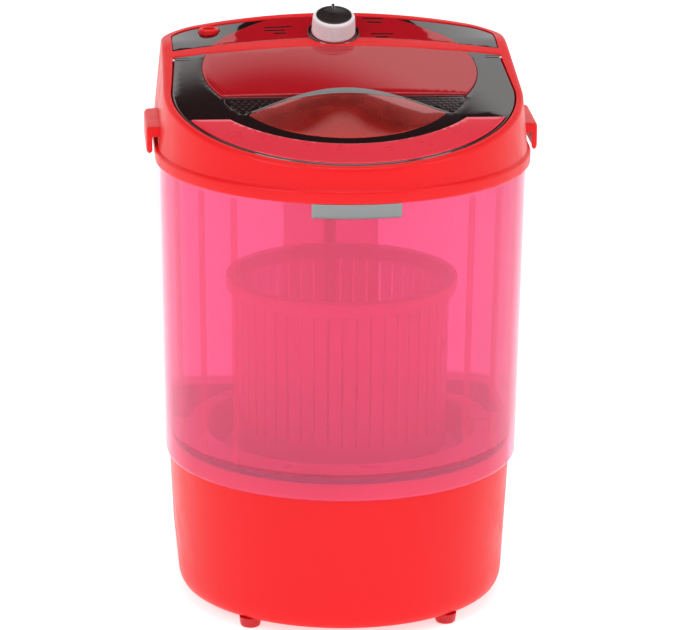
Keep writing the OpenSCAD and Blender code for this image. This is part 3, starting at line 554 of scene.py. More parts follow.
def make_tub():
    s = Shape()
    foot = JOINT_Z
    rings = [dee_ring(163.0, foot), dee_ring(164.4, foot + 0.3), dee_ring(165.9, foot + 1.6)]
    rings += [dee_ring(166.7, foot + 3.6), dee_ring(tub_r(foot + 6), foot + 6)]
    rings += [dee_ring(tub_r(z), z) for z in np.linspace(foot + 20, TUB_TOP - 1, 12)]
    rings += [dee_ring(TUB_R - 0.5, TUB_TOP), dee_ring(TUB_R - 2.1, TUB_TOP)]
    rings += [dee_ring(TUB_R - TUB_WALL, TUB_TOP - 0.6)]
    rings += [dee_ring(tub_r(z) - TUB_WALL, z) for z in np.linspace(TUB_TOP - 20, LEDGE_Z + 6, 10)]
    wall = tub_r(LEDGE_Z) - TUB_WALL
    rings += [dee_ring(wall - 0.6, LEDGE_Z + 2), dee_ring(wall - 2.2, LEDGE_Z + 0.2)]
    bowl = [(146, LEDGE_Z), (131, LEDGE_Z), (129.2, LEDGE_Z - 0.4), (127.6, LEDGE_Z - 1.8)]
    bowl += [(119, 152), (113.6, 143.6), (111, 141.3), (108, 141), (52, 141), (49, 144)]
    bowl += [(12.6, 144), (12, 143.4), (12, 138), (112, 138), (115, 139.5), (130.5, LEDGE_Z - 3)]
    rings += [circle_ring(r, z) for r, z in bowl]
    rings += [circle_ring(146, LEDGE_Z - 3), dee_ring(162.4, LEDGE_Z - 3), dee_ring(162.6, foot + 4)]
    s.rings(rings)
    tub = build("tub_shell", s.v, s.f, "root", "tub_plastic", ["wash_tub"])
    tub.data.materials.append(TUB_FLOOR)
    for face in tub.data.polygons:  # the ledge, the bowl and the floor are thicker
        x, y, z = face.center
        if z < (LEDGE_Z + 1) * MM and math.hypot(x, y) < FLOOR_R * MM:
            face.material_index = 1


def make_ribs():
    """Stiffening ribs on the inside of the tub's wall, with round upper ends."""
    s = Shape()
    top, steps, size = 420.0, 20, 3.2
    for angle in RIB_ANGLES:
        for side in (-1, 1):
            a = math.radians(-90 + side * angle)
            out = np.array([math.cos(a), math.sin(a)])
            along = np.array([-out[1], out[0]])
            rings = []
            levels = [LEDGE_Z + 0.4, LEDGE_Z + 60, LEDGE_Z + 120, LEDGE_Z + 190, top - size]
            levels += [top - size + size * math.sin(t) for t in (0.4, 0.8, 1.15, 1.4)]
            for z in levels:
                share = math.sqrt(max(0.03, 1 - (max(0, z - top + size) / size) ** 2))
                mid = out * (tub_r(z) - TUB_WALL - 1.0)
                ring = []
                for t in np.linspace(0, 2 * math.pi, steps, endpoint=False):
                    x, y = size * share * math.cos(t), size * share * math.sin(t)
                    y = min(y, 0.9)
                    p = mid + along * x + out * y
                    ring.append((*p, z))
                rings.append(ring)
            s.rings(rings, closed=False, cap_first=True, cap_last=True)
    build("tub_ribs", s.v, s.f, "root", "tub_plastic")


make_tub()
make_ribs()

# ---------------------------------------------------------------- basket
basket_lo, basket_hi = span("spin_basket")
SLOT_COUNT = 48
SLOT_Z = (170.0, 298.0)
SLOT_WIDTH = 2.0


def make_basket():
    s = Shape()
    rim_r, rim_z, foot_z = basket_hi[0], basket_hi[2], basket_lo[2]

    def out_r(z):
        return 100.5 + 1.5 * (z - 150) / 163

    # wall with slots: angular stations repeat for each slot
    pitch = 2 * math.pi / SLOT_COUNT
    half = SLOT_WIDTH / 2 / 101
    offsets = [-half, half, half + (pitch - 2 * half) * 0.33, half + (pitch - 2 * half) * 0.67]
    angles = [(i + 0.5) * pitch + o for i in range(SLOT_COUNT) for o in offsets]
    low, high = SLOT_Z
    levels = [foot_z, foot_z + 1.2, foot_z + 5, 160.0, low]
    levels += list(np.linspace(low + 25, high - 25, 3)) + [high, high + 1.5]
    wall = 2.2
    n, verts, faces = len(angles), [], []
    for skin in (0, 1):
        for k, z in enumerate(levels):
            r = out_r(z)
            if k == 0:
                r = 98.0
            if k == 1:
                r = 98.9
            r -= wall * skin
            for a in angles:
                verts.append((r * math.cos(a), r * math.sin(a), z))

    def at(skin, level, k):
        return (skin * len(levels) + level) * n + k % n

    first, last = levels.index(low), levels.index(high)
    for level in range(len(levels) - 1):
        for k in range(n):
            slot = k % 4 == 0 and first <= level < last
            if not slot:
                a, b = (level, k), (level, k + 1)
                c, d = (level + 1, k + 1), (level + 1, k)
                faces.append((at(0, *a), at(0, *b), at(0, *c), at(0, *d)))
                faces.append((at(1, *d), at(1, *c), at(1, *b), at(1, *a)))
            else:
                faces.append((at(0, level, k), at(0, level + 1, k), at(1, level + 1, k), at(1, level, k)))
                e = k + 1
                faces.append((at(0, level, e), at(1, level, e), at(1, level + 1, e), at(0, level + 1, e)))
    for k in range(0, n, 4):
        faces.append((at(0, first, k), at(1, first, k), at(1, first, k + 1), at(0, first, k + 1)))
        faces.append((at(0, last, k), at(0, last, k + 1), at(1, last, k + 1), at(1, last, k)))
    for k in range(n):
        faces.append((at(0, 0, k), at(1, 0, k), at(1, 0, k + 1), at(0, 0, k + 1)))
        top = len(levels) - 1
        faces.append((at(0, top, k), at(0, top, k + 1), at(1, top, k + 1), at(1, top, k)))
    s.put(verts, faces)
    build("basket_wall", s.v, s.f, "basket", "basket_plastic", ["spin_basket"])

    rim = Shape()
    r_in = out_r(rim_z) - wall
    profile = [(r_in, high + 1.7), (out_r(high) + 0.1, high + 1.7), (out_r(high) + 0.2, rim_z - 4)]
    profile += [(rim_r - 3.4, rim_z - 3.4), (rim_r - 3.0, high + 1.6), (rim_r - 2.4, high + 0.9)]
    profile += [(rim_r - 1.6, high + 1.0), (rim_r - 0.6, high + 3), (rim_r - 0.1, rim_z - 3.5)]
    profile += [(rim_r - 0.1, rim_z - 2), (rim_r - 0.8, rim_z - 0.5), (rim_r - 2.2, rim_z)]
    profile += [(r_in + 1.5, rim_z), (r_in + 0.4, rim_z - 0.4), (r_in, rim_z - 1.4)]
    rim.turned(profile, steps=144)
    build("basket_rim", rim.v, rim.f, "basket", "basket_plastic")

    floor = Shape()
    holes = []
    for r in (34, 52, 70, 86):
        for a in range(0, 360, 30):
            t = math.radians(a + r)
            holes.append(arc(r * math.cos(t), r * math.sin(t), 3, 0, 360, 13)[:-1])
    disc = arc(0, 0, 98.1, 0, 360, 145)[:-1]
    hub_hole = arc(0, 0, 22.4, 0, 360, 49)[:-1]
    plate(
        floor, disc, lambda x, y: 169 + 0 * x, lambda x, y: 166 + 0 * x, edge=0.3,
        holes=[hub_hole, *holes], grid=9,
    )
    hub = [(19, 166), (22.6, 166), (23.2, 166.6), (21.4, 186.5), (20.2, 188), (6, 188.6)]
    floor.turned(hub + [(0.4, 188.7), (0.4, 183), (17.5, 182.5), (19, 181)], steps=72)
    build("basket_floor", floor.v, floor.f, "basket", "basket_plastic")


make_basket()

# ---------------------------------------------------------------- top surface of collar and panel
hinge = JOINTS["lid_hinge"]["pos_m"]
LID_SLOPE = math.radians(11.2)
KNUCKLE_X = 147.5
PIN_BORE = 1.55
HINGE_LOCAL = (0.0, 72.0, -2.0)  # the hinge axis in the lid's own plane, mm
LID = (
    Matrix.Translation(Vector(hinge))
    @ Matrix.Rotation(LID_SLOPE, 4, "X")
    @ Matrix.Translation(-Vector(HINGE_LOCAL) * MM)
)
LID_Z = LID.translation.z / MM
collar_lo, collar_hi = span("top_collar")
LIP_R, LIP_Z = collar_hi[0], collar_lo[2]
CROWN_Y = 112.0
CROWN_Z = LID_Z + CROWN_Y * math.tan(LID_SLOPE)
PANEL_TOP = 534.0
PANEL_DROP = 20.0
PANEL_BACK = 176.0
BLEND = 7.0


def top_z(x, y):
    """Height of the top surface: the lid's plane, blended into the arched panel."""
    t = np.asarray(y, float) - CROWN_Y
    past = np.where(t > BLEND, t, np.where(t < -BLEND, 0, (t + BLEND) ** 2 / (4 * BLEND)))
    edge = PANEL_TOP - PANEL_DROP * (np.asarray(x, float) / 150) ** 2
    slope = (edge - CROWN_Z) / (PANEL_BACK - CROWN_Y)
    return CROWN_Z + math.tan(LID_SLOPE) * (t - past) + slope * past


def lid_to_plan(pts, w=0.0):
    """Points in the lid's plane, as plan points in mm."""
    p = np.asarray(pts, float)
    y = LID.translation.y / MM + p[:, 1] * math.cos(LID_SLOPE) - w * math.sin(LID_SLOPE)
    return np.c_[p[:, 0], y]


BACK_R, BACK_MID = 546.0, 100.0


def back_arc(half, gap, n=40):
    """Points of the lid's rear arc, from right to left."""
    r = BACK_R - gap
    x = np.linspace(half, -half, n)
    return np.c_[x, BACK_MID - BACK_R + np.sqrt(r * r - x * x)]


def lid_outline(gap):
    """The lid's outline in its own plane, anticlockwise from the right rear corner."""
    r = 161.0 - gap
    back = back_arc(153.2 - gap, gap + 0.2)
    end = back[-1]
    left = np.linspace(end + (0, -4), (-r, -5.5), 22)
    left[:, 0] = np.interp(left[:, 1], [-5.5, 101], [-r, -(154.5 - gap)])
    front = arc(0, -5.5, r, 180, 360, 150)[1:-1]
    right = left[::-1] * (-1, 1)
    return np.concatenate([back, left, front, right])


def fascia_plan(gap):
    """The panel cover's plan: between an arc in front and the body's plan behind."""
    r, fr, fc = 156.0 - gap, 481.0 + gap, 114.8 - 481.0
    x_end = r
    for _ in range(30):  # where the front arc meets the straight side
        y_end = fc + math.sqrt(fr * fr - x_end * x_end)
    x = np.linspace(-r, r, 60)
    front = np.c_[x, fc + np.sqrt(fr * fr - x * x)]
    side = np.linspace(y_end, CORNER, 8)[1:-1]
    right = np.c_[np.full(len(side), r), side]
    c1 = arc(CORNER, CORNER, r - CORNER, 0, 90, 12)
    flat = np.c_[np.linspace(CORNER, -CORNER, 40)[1:-1], np.full(38, r)]
    c2 = arc(-CORNER, CORNER, r - CORNER, 90, 180, 12)
    left = np.c_[np.full(len(side), -r), side[::-1]]
    return np.concatenate([front, right, c1, flat, c2, left])


inlet_lo, inlet_hi = span("inlet_port")
INLET = (inlet_lo[:2] + inlet_hi[:2]) / 2
INLET_R = (inlet_hi[0] - inlet_lo[0]) / 2
KNOB_Y = JOINTS["timer_turn"]["pos_m"][1] / MM
RECESS = 3.5


def collar_r(z):
    return 173.0 - 0.1 * (z - 437.0)


def make_collar():
    """One skin over lip, wall, rim, lid pocket and panel recess, thickened inwards."""
    s = Shape()
    plan = dee(170.0)
    lip = [(173.4, LIP_Z), (175.0, LIP_Z + 0.1), (LIP_R - 0.2, LIP_Z + 0.9), (LIP_R, LIP_Z + 2.2)]
    lip += [(LIP_R, LIP_Z + 9.4), (LIP_R - 0.5, LIP_Z + 10.9), (LIP_R - 1.7, LIP_Z + 11.8)]
    lip += [(173.5, LIP_Z + 12.0), (172.9, LIP_Z + 12.6)]
    rings = [dee_ring(r, z) for r, z in lip]
    n_plan = len(plan)
    # The wall's own top follows the top surface, so each point finds its own height
    r_top = np.full(n_plan, 166.5)
    for _ in range(4):
        edge = np.array([dee(r)[k] for k, r in enumerate(r_top)])
        z_edge = top_z(edge[:, 0], edge[:, 1])
        r_top = collar_r(z_edge)
    fillet = 3.2

    def wall_ring(share):
        z0 = LIP_Z + 13.6
        z = z0 + (z_edge - fillet - z0) * share
        return np.array([(*dee(collar_r(zz))[k], zz) for k, zz in enumerate(z)])

    rings += [wall_ring(t) for t in (0.0, 0.2, 0.4, 0.6, 0.8, 1.0)]
    for t in np.linspace(0, math.pi / 2, 6)[1:]:
        r = collar_r(z_edge - fillet * (1 - math.sin(t))) - fillet * (1 - math.cos(t))
        xy = np.array([dee(rr)[k] for k, rr in enumerate(r)])
        z = top_z(xy[:, 0], xy[:, 1]) - fillet * (1 - math.sin(t))
        rings.append(np.c_[xy, z])
    s.rings(rings, closed=False)
    rim = rings[-1][:, :2]
    lid_hole = lid_to_plan(lid_outline(0))
    recess = fascia_plan(0)
    edge_lid, edge_panel = 1.4, 0.6
    v, f = sheet_between(
        rim, [inset(lid_hole, -edge_lid), inset(recess, -edge_panel)], 6.0
    )
    s.put(lifted(v, top_z), f)
    # Pocket for the lid
    depth = np.where(lid_hole[:, 1] > 41, 62.0, 15.0)
    walls = []
    for t in np.linspace(0, math.pi / 2, 5):
        pts = inset(lid_hole, -edge_lid * (1 - math.sin(t)))
        ring = lifted(pts, top_z)
        ring[:, 2] -= edge_lid * (1 - math.cos(t))
        walls.append(ring)
    for share in (0.25, 1.0):
        ring = lifted(lid_hole, top_z)
        ring[:, 2] -= np.maximum(depth * share, edge_lid + 1)
        walls.append(ring)
    s.rings(walls, closed=False)
    # Recess for the panel cover
    walls = []
    for t in np.linspace(0, math.pi / 2, 4):
        pts = inset(recess, -edge_panel * (1 - math.sin(t)))
        ring = lifted(pts, top_z)
        ring[:, 2] -= edge_panel * (1 - math.cos(t))
        walls.append(ring)
    floor = lifted(recess, top_z)
    floor[:, 2] -= RECESS
    walls.append(floor)
    s.rings(walls, closed=False)
    holes = [arc(*INLET, INLET_R + 0.6, 0, 360, 33)[:-1], arc(0, KNOB_Y, 6, 0, 360, 25)[:-1]]
    v, f = sheet_between(recess, holes, 12.0)
    s.put(lifted(v, lambda x, y: top_z(x, y) - RECESS), f)
    obj = build(
        "collar_shell", s.v, s.f, "root", "red_plastic", ["top_collar"],
        keep_sharp=math.radians(40),
    )
    obj.modifiers.clear()
    thick = obj.modifiers.new("thickness", "SOLIDIFY")
    thick.thickness = 0.0022
    thick.offset = -1
    thick.use_rim = True
    even_out = obj.modifiers.new("flat_faces_first", "WEIGHTED_NORMAL")
    even_out.keep_sharp = True
    even_out.weight = 80
    return obj


def make_ledge():
    """The ledge round the loading mouth, under the lid."""
    s = Shape()
    a = math.degrees(math.asin(42 / 138.0))
    mouth = arc(0, 0, 138.0, 180 - a, 360 + a, 120)
    outer = lid_outline(0.2)
    outer = outer[outer[:, 1] < 42]
    outer = outer[np.argsort(np.arctan2(outer[:, 0], -outer[:, 1]))]
    loop = np.concatenate([outer, mouth[::-1]])
    plate(s, loop, lambda x, y: -15 + 0 * x, lambda x, y: -18 + 0 * x, edge=0.5, grid=8)
    build("mouth_ledge", s.v, s.f, "root", "red_plastic", place=LID)


make_collar()
make_ledge()


# ---------------------------------------------------------------- panel
def make_panel():
    s = Shape()
    knob_hole = arc(0, KNOB_Y, 6.2, 0, 360, 25)[:-1]
    inlet_hole = arc(*INLET, INLET_R + 0.5, 0, 360, 41)[:-1]
    plate(
        s, fascia_plan(0.4), lambda x, y: top_z(x, y) - 1.1, lambda x, y: top_z(x, y) - RECESS + 0.1,
        edge=0.9, holes=[knob_hole, inlet_hole], grid=6, hole_edge=0.5,
    )
    build("panel_cover", s.v, s.f, "root", "smoked_plastic", ["panel_fascia"])
    # Arched window, wide in front and narrow behind
    s = Shape()
    base = fascia_plan(0.8)
    side = [(118.5, 99), (112.5, 112), (104, 123.5), (92, 135), (76, 146.5), (58, 155.2)]
    front_x = np.linspace(-118, 118, 50)
    front = np.c_[front_x, 114.8 - 481 + np.sqrt(481.8**2 - front_x**2)]
    right = np.array(side[1:])
    back = np.c_[np.linspace(50, -50, 24), np.full(24, 155.2)]
    left = right[::-1] * (-1, 1)
    outline = np.concatenate([front, right, back, left])
    assert inside(outline.mean(0)[None], base)[0]
    plate(
        s, outline, lambda x, y: top_z(x, y) + 0.0, lambda x, y: top_z(x, y) - 1.2, edge=0.9,
        holes=[arc(0, KNOB_Y, 6.2, 0, 360, 25)[:-1]], grid=5, hole_edge=0.3,
    )
    build("panel_arch", s.v, s.f, "root", "red_clear", ["panel_window"])
    make_marks()


def make_marks():
    """Plain tick marks and bars printed on the panel on both sides of the knob. They spell nothing."""
    s = Shape()
    bars = [(-66, 136, 26), (-66, 130, 20), (-57, 124, 12), (30, 150, 20), (34, 143, 14)]
    bars += [(36, 121, 22), (40, 115, 12)]
    for x, y, length in bars:
        loop = even([(x, y), (x + length, y), (x + length, y + 2.2), (x, y + 2.2)], 4)
        plate(s, loop, lambda u, v: top_z(u, v) + 0.12, lambda u, v: top_z(u, v) + 0.02, edge=0.03, grid=20)
    build("panel_marks", s.v, s.f, "root", "smoked_plastic")


def make_inlet():
    s = Shape()
    top, r, bore = inlet_hi[2], INLET_R, 6.0
    low = inlet_lo[2]
    profile = [(bore, low), (8, low), (8, top - 14), (r - 0.3, top - 14), (r, top - 13.6)]
    profile += [(r, top - 1.8), (r - 0.4, top - 0.7), (r - 1.3, top)]
    profile += [(bore + 1.6, top), (bore + 0.5, top - 0.5), (bore, top - 1.6)]
    s.turned(profile, steps=56, centre=tuple(INLET))
    build("inlet_ring", s.v, s.f, "root", "red_plastic", ["inlet_port"])


make_panel()
make_inlet()

# ---------------------------------------------------------------- knob
KNOB_AXIS = Vector(JOINTS["timer_turn"]["axis"])
KNOB = Matrix.Translation(Vector(JOINTS["timer_turn"]["pos_m"])) @ Matrix.Rotation(
    math.atan2(-KNOB_AXIS.y, KNOB_AXIS.z), 4, "X"
)
KNOB_R, KNOB_H = 21.0, 19.0


def make_knob():
    s = Shape()
    teeth, per = 60, 6
    n = teeth * per

    def ring(r, w, depth):
        a = np.arange(n) * 2 * math.pi / n
        rr = r - depth * (0.5 - 0.5 * np.cos(a * teeth))
        return np.c_[rr * np.cos(a), rr * np.sin(a), np.full(n, w)]

    profile = [(3.1, 14.9, 0), (3.1, 1.2, 0), (3.4, 1, 0), (KNOB_R - 0.9, 1, 0)]
    profile += [(KNOB_R - 0.3, 1.3, 0), (KNOB_R, 2.2, 0), (KNOB_R, 4.2, 0.1)]
    profile += [(KNOB_R - 0.05, 5.2, 0.75), (KNOB_R - 0.5, 14.6, 0.75)]
    profile += [(KNOB_R - 0.6, 16.0, 0.2), (KNOB_R - 0.9, 17.6, 0), (KNOB_R - 1.6, 18.7, 0)]
    profile += [(KNOB_R - 2.8, KNOB_H, 0), (KNOB_R - 4.6, KNOB_H, 0), (0.6, KNOB_H, 0)]
    profile += [(0.6, 15.2, 0), (2.9, 15.1, 0)]
    rings = [ring(*place) for place in profile]
    s.rings(rings)
    build("knob_body", s.v, s.f, "timer_dial", "knob_white", ["timer_knob"], place=KNOB)
    s = Shape()
    cap = [(0.3, KNOB_H + 0.05), (KNOB_R - 4.4, KNOB_H + 0.05), (KNOB_R - 3.8, KNOB_H + 0.4)]
    cap += [(KNOB_R - 4.0, KNOB_H + 0.9), (KNOB_R - 4.8, KNOB_H + 1.2), (KNOB_R - 9, KNOB_H + 0.8)]
    cap += [(0.3, KNOB_H + 0.7)]
    s.turned(cap, steps=96)
    w0, w1 = KNOB_H + 0.6, KNOB_H + 4.6
    rings = []
    levels = ((w0, 1.9, 2.6, 16.2), (w1 - 1.2, 1.6, 3.2, 15.9))
    levels += ((w1 - 0.4, 1.2, 3.8, 15.4), (w1, 0.7, 4.4, 14.9))
    for w, half, start, stop in levels:
        corner = min(half * 0.9, 1.2)
        ring = np.concatenate([
            arc(half - corner, stop - corner, corner, 0, 90, 5),
            arc(-half + corner, stop - corner, corner, 90, 180, 5),
            arc(-half + corner, start + corner, corner, 180, 270, 5),
            arc(half - corner, start + corner, corner, 270, 360, 5),
        ])
        rings.append(at_height(ring, w))
    s.rings(rings, closed=False, cap_first=True, cap_last=True)
    build("knob_cap_dark", s.v, s.f, "timer_dial", "smoked_plastic", ["knob_cap"], mat=CAP_DARK, place=KNOB)
    s = Shape()
    ring_profile = [(22.1, 0.15), (24.9, 0.15), (25, 0.5), (24.4, 1.4), (23.4, 1.6), (22.3, 1.2)]
    s.turned(ring_profile, steps=96)
    build("knob_ring", s.v, s.f, "root", "smoked_plastic", ["knob_bezel"], place=KNOB)


make_knob()

# ---------------------------------------------------------------- lid
DOME_FRONT = (-2.7, 106.3)  # middle and radius of the lens's front arc, in the lid's plane
DOME_BACK = (-153.4, 132.9)
DOME_H = 10.0
GRIP_E = -31.5


def dome_crown(x):
    return DOME_H * np.cos(np.clip(np.abs(x), 0, 92) * math.pi / 2 / 92) ** 2


def front_e(x):
    return DOME_FRONT[0] - np.sqrt(DOME_FRONT[1] ** 2 - np.asarray(x) ** 2)


def back_e(x, grow=0.0):
    return DOME_BACK[0] + np.sqrt((DOME_BACK[1] + grow) ** 2 - np.asarray(x) ** 2)


def lid_crown(x, e):
    """The lid falls away gently near its sides, and its rim is level with the collar."""
    over = np.clip(np.abs(np.asarray(x, float)) - 108, 0, None) / 45
    return -0.3 * over**2


def window_crown(x, e):
    return 3.0 - 1.6 * (np.asarray(x, float) / 125) ** 2


def window_plan(gap):
    """The lid window's plan: round ends, an arc behind and a straight front edge."""
    r, front = 130.0 - gap, -17.0 + gap
    back_r = BACK_R - 6 - gap
    half = 0.0
    for x in np.linspace(100, 129, 600):
        y_back = BACK_MID - BACK_R + math.sqrt(back_r**2 - x * x)
        if x * x + (y_back - 45) ** 2 <= r * r:
            half = x
    xs = np.linspace(half, -half, 60)
    back = np.c_[xs, BACK_MID - BACK_R + np.sqrt(back_r**2 - xs**2)]
    a_back = math.degrees(math.atan2(back[0, 1] - 45, back[0, 0]))
    a_front = math.degrees(math.asin((front - 45) / r))
    left = arc(0, 45, r, 180 - a_back, 180 - a_front, 40)[1:]
    xf = left[-1, 0]
    straight = np.c_[np.linspace(xf, -xf, 60)[1:-1], np.full(58, front)]
    right = arc(0, 45, r, a_front, a_back, 40)[:-1]
    return np.concatenate([back, left, straight, right])


def band_plan(gap):
    """The front band: the lid's outline in front, an inner arc behind, ends cut square."""
    r_out, r_in, end = 158.0 - gap, 136.0 + gap, -68.0 - gap
    a0 = math.degrees(math.asin((end + 5.5) / r_out))
    outer = arc(0, -5.5, r_out, 180 - a0, 360 + a0, 130)
    b0 = math.degrees(math.asin((end - 14) / r_in))
    inner = arc(0, 14, r_in, 360 + b0, 180 - b0, 110)
    return np.concatenate([outer, inner])


def grille_plan(side, gap):
    """A speckled grille beside the dome, right (+1) or left (-1)."""
    x0, x1, e0, e1 = 48.0 + gap, 112.0 - gap, -58.0 + gap, -18.0 - gap
    r_dome = DOME_BACK[1] + 4.0 + gap
    xs = np.linspace(x0, x1, 30)
    low = np.maximum(DOME_BACK[0] + np.sqrt(r_dome**2 - xs**2), e0)
    low = np.maximum(low, 14 - np.sqrt((120 - gap) ** 2 - xs**2))
    keep = low < e1 - 0.5
    xs, low = xs[keep], low[keep]
    bottom = np.c_[xs, low]
    top = np.array([(xs[-1], e1), (xs[0], e1)])
    loop = even(np.concatenate([bottom, top]), 4)
    return loop if side > 0 else loop[::-1] * (-1, 1)


def make_lid():
    s = Shape()
    holes = [window_plan(0), band_plan(0), grille_plan(1, 0), grille_plan(-1, 0)]
    plate(
        s, lid_outline(1.0), lid_crown, lambda x, e: lid_crown(x, e) - 2.6, edge=1.8,
        holes=holes, grid=6, hole_edge=0.5,
    )
    # Skirt under the lid
    outer, inner = lid_outline(5.0), lid_outline(7.5)
    section = [(outer, -4.2), (outer, -10.6), (inset(outer, 0.4), -11)]
    section += [(inset(inner, -0.4), -11), (inner, -10.6), (inner, -4.2)]
    rings = [lifted(p, lambda x, e, w=w: w + 0 * x) for p, w in section]
    s.rings(rings)
    # Hinge knuckles
    for side in (-1, 1):
        x0 = side * KNUCKLE_X
        rings = []
        turn = np.linspace(0, 2 * math.pi, 28, endpoint=False)
        section = ((-6.5, 2.6), (-6.1, 3.0), (6.1, 3.0), (6.5, 2.6), (6.5, PIN_BORE), (-6.5, PIN_BORE))
        for x, r in section:
            round_pin = [(HINGE_LOCAL[1] + r * math.cos(t), HINGE_LOCAL[2] + r * math.sin(t)) for t in turn]
            rings.append([(x0 + x, e, w) for e, w in round_pin])
        s.rings(rings)
    build("lid_body", s.v, s.f, "lid", "smoked_plastic", ["lid_frame"], place=LID)

    s = Shape()
    plate(s, window_plan(0.4), window_crown, lambda x, e: -2 + 0 * x, edge=1.1, grid=7)
    build("lid_pane", s.v, s.f, "lid", "red_clear", ["lid_window"], place=LID)

    s = Shape()
    plate(
        s, band_plan(0.35), lambda x, e: 1.5 - 0.02 * np.clip(-95 - e, 0, 60) ** 1.1 * 0.5,
        lambda x, e: -1.6 + 0 * x, edge=1.2, grid=6,
    )
    build("lid_band", s.v, s.f, "lid", "front_band_red", ["lid_front_band"], place=LID)

    s = Shape()
    for side in (-1, 1):
        loop = grille_plan(side, 0.3)
        dots = []
        for i in range(-17, 18):
            for j in range(7):
                x, e = i * 6.4 + (j % 2) * 3.2, -54 + j * 5.6
                if inside([(x, e)], loop)[0] and clear_of([(x, e)], loop, 2.2)[0]:
                    dots.append(arc(x, e, 1.3, 0, 360, 13)[:-1])
        plate(
            s, loop, lambda x, e: lid_crown(x, e) - 0.3, lambda x, e: -2.2 + 0 * x, edge=0.25,
            holes=dots, grid=9, hole_edge=0.25,
        )
    build("lid_speckle", s.v, s.f, "lid", "smoked_plastic", ["lid_grilles"], place=LID)


def make_dome():
    xs = np.linspace(-90.5, 90.5, 90)
    front = np.c_[xs, front_e(xs)]
    back_x = np.linspace(90.0, -90.0, 90)
    back = np.c_[back_x, np.minimum(back_e(back_x), GRIP_E - 0.3)]
    outline = even(np.concatenate([front, back]), 2.0)

    def height(x, e):
        x, e = np.asarray(x, float), np.asarray(e, float)
        xc = np.clip(x, -91, 91)
        length = np.maximum(back_e(xc) - front_e(xc), 0.5)
        t = np.clip((e - front_e(xc)) / length, 0, 1)
        return 0.35 + dome_crown(xc) * np.sin(t * math.pi / 2) ** 0.92

    s = Shape()
    plate(s, outline, height, lambda x, e: 0.03 + 0 * x, edge=0.25, grid=3.2)
    build("lid_dome", s.v, s.f, "lid", "metallic_red", ["lid_grip_dome"], place=LID)


def make_trim():
    """Silver finger lip behind the dome, with thin tails along the dome's back edge."""
    half_lip = math.sqrt((DOME_BACK[1] + 2.5) ** 2 - (GRIP_E - DOME_BACK[0]) ** 2)
    s = Shape()
    xs = np.linspace(half_lip - 0.6, -half_lip + 0.6, 70)
    back = np.c_[xs, back_e(xs, 2.5)]
    front = np.c_[np.linspace(-half_lip + 0.6, half_lip - 0.6, 70)[1:-1], np.full(68, GRIP_E)]
    outline = even(np.concatenate([back, front]), 1.6)

    def height(x, e):
        fall = np.clip((np.asarray(e, float) - GRIP_E) / 13, 0, 1)
        return 0.75 + dome_crown(x) - 1.1 * fall**1.5

    plate(s, outline, height, lambda x, e: 0.05 + 0 * x, edge=0.7, grid=3)
    for side in (-1, 1):
        xs = np.linspace(half_lip - 1.5, 88, 30)
        rings = []
        for x in xs:
            e = float(back_e(x, 1.4))
            top = float(dome_crown(x)) + 0.9
            w = 0.9
            ring = [(side * x, e - w, 0.05), (side * x, e + w, 0.05), (side * x, e + w, top - 0.4)]
            ring += [(side * x, e + w * 0.5, top), (side * x, e - w * 0.5, top)]
            ring += [(side * x, e - w, top - 0.4)]
            rings.append(ring)
        s.rings(rings, closed=False, cap_first=True, cap_last=True)
    build("lid_trim", s.v, s.f, "lid", "silver_trim", ["lid_trim_arc"], place=LID)


make_lid()
make_dome()
make_trim()


# ---------------------------------------------------------------- handles, label plate
def make_handles():
    for side, node in ((-1, "left_handle"), (1, "right_handle")):
        lo, hi = span(node)
        reach = max(abs(lo[0]), abs(hi[0]))
        profile = [(168.5, 447.0), (172.2, 446.3), (reach - 5.2, 446.0), (reach - 4.0, 445.2)]
        profile += [(reach - 3.6, 443.5), (reach - 3.6, 431.2), (reach - 3.0, 430.1)]
        profile += [(reach - 2.0, 430.0), (reach - 0.7, 431.4), (reach, 434.0), (reach, 452.0)]
        profile += [(reach - 0.5, 454.2), (reach - 1.8, 455.6), (reach - 3.4, 456.0), (168.5, 456.0)]
        s = Shape()
        rings = []
        length = hi[1] - lo[1]
        for t in (0.0, 0.008, 0.03, 0.07, 0.5, 0.93, 0.97, 0.992, 1.0):
            y = lo[1] + length * t
            pull = 2.2 * (1 - math.sqrt(max(0, 1 - (1 - min(1, min(t, 1 - t) / 0.07)) ** 2)))
            mid = np.array([(168.5 + reach) / 2 - 2, 448.0])
            pts = np.array(profile)
            outer = pts[:, 0] > 172.5
            moved = pts.copy()
            off = pts[outer] - mid
            moved[outer] = pts[outer] - np.sign(off) * np.minimum(pull, np.abs(off) * 0.5)
            rings.append([(side * x, y, z) for x, z in moved])
        s.rings(rings, closed=False, cap_first=True, cap_last=True)
        build(f"{node}_grip", s.v, s.f, "root", "red_plastic", [node])


def make_label():
    lo, hi = span("label_plate")
    s = Shape()
    r0, r1 = 172.15, 173.15
    half = math.asin(hi[0] / r1)
    steps = 40
    rings = []
    for a in np.linspace(-half, half, steps + 1):
        c, d = math.sin(a), -math.cos(a)
        out = []
        edge = 0.45 if 0.02 < abs(half - abs(a)) or True else 0
        ends = min(1.0, (half - abs(a)) * r1 / 0.5)
        r_top = r0 + (r1 - r0) * max(0.35, ends)
        z0, z1 = lo[2], hi[2]
        upright = [(r0, z0), (r_top - edge, z0), (r_top, z0 + edge), (r_top, z0 + 1.1)]
        upright += [(r_top - 0.25, z0 + 1.5), (r_top - 0.25, z1 - 1.5), (r_top, z1 - 1.1)]
        upright += [(r_top, z1 - edge), (r_top - edge, z1), (r0, z1)]
        for r, z in upright:
            out.append((r * c, r * d, z))
        rings.append(out)
    s.rings(rings, closed=False, cap_first=True, cap_last=True)
    build("label_blank", s.v, s.f, "root", "silver_trim", ["label_plate"])


make_handles()
make_label()


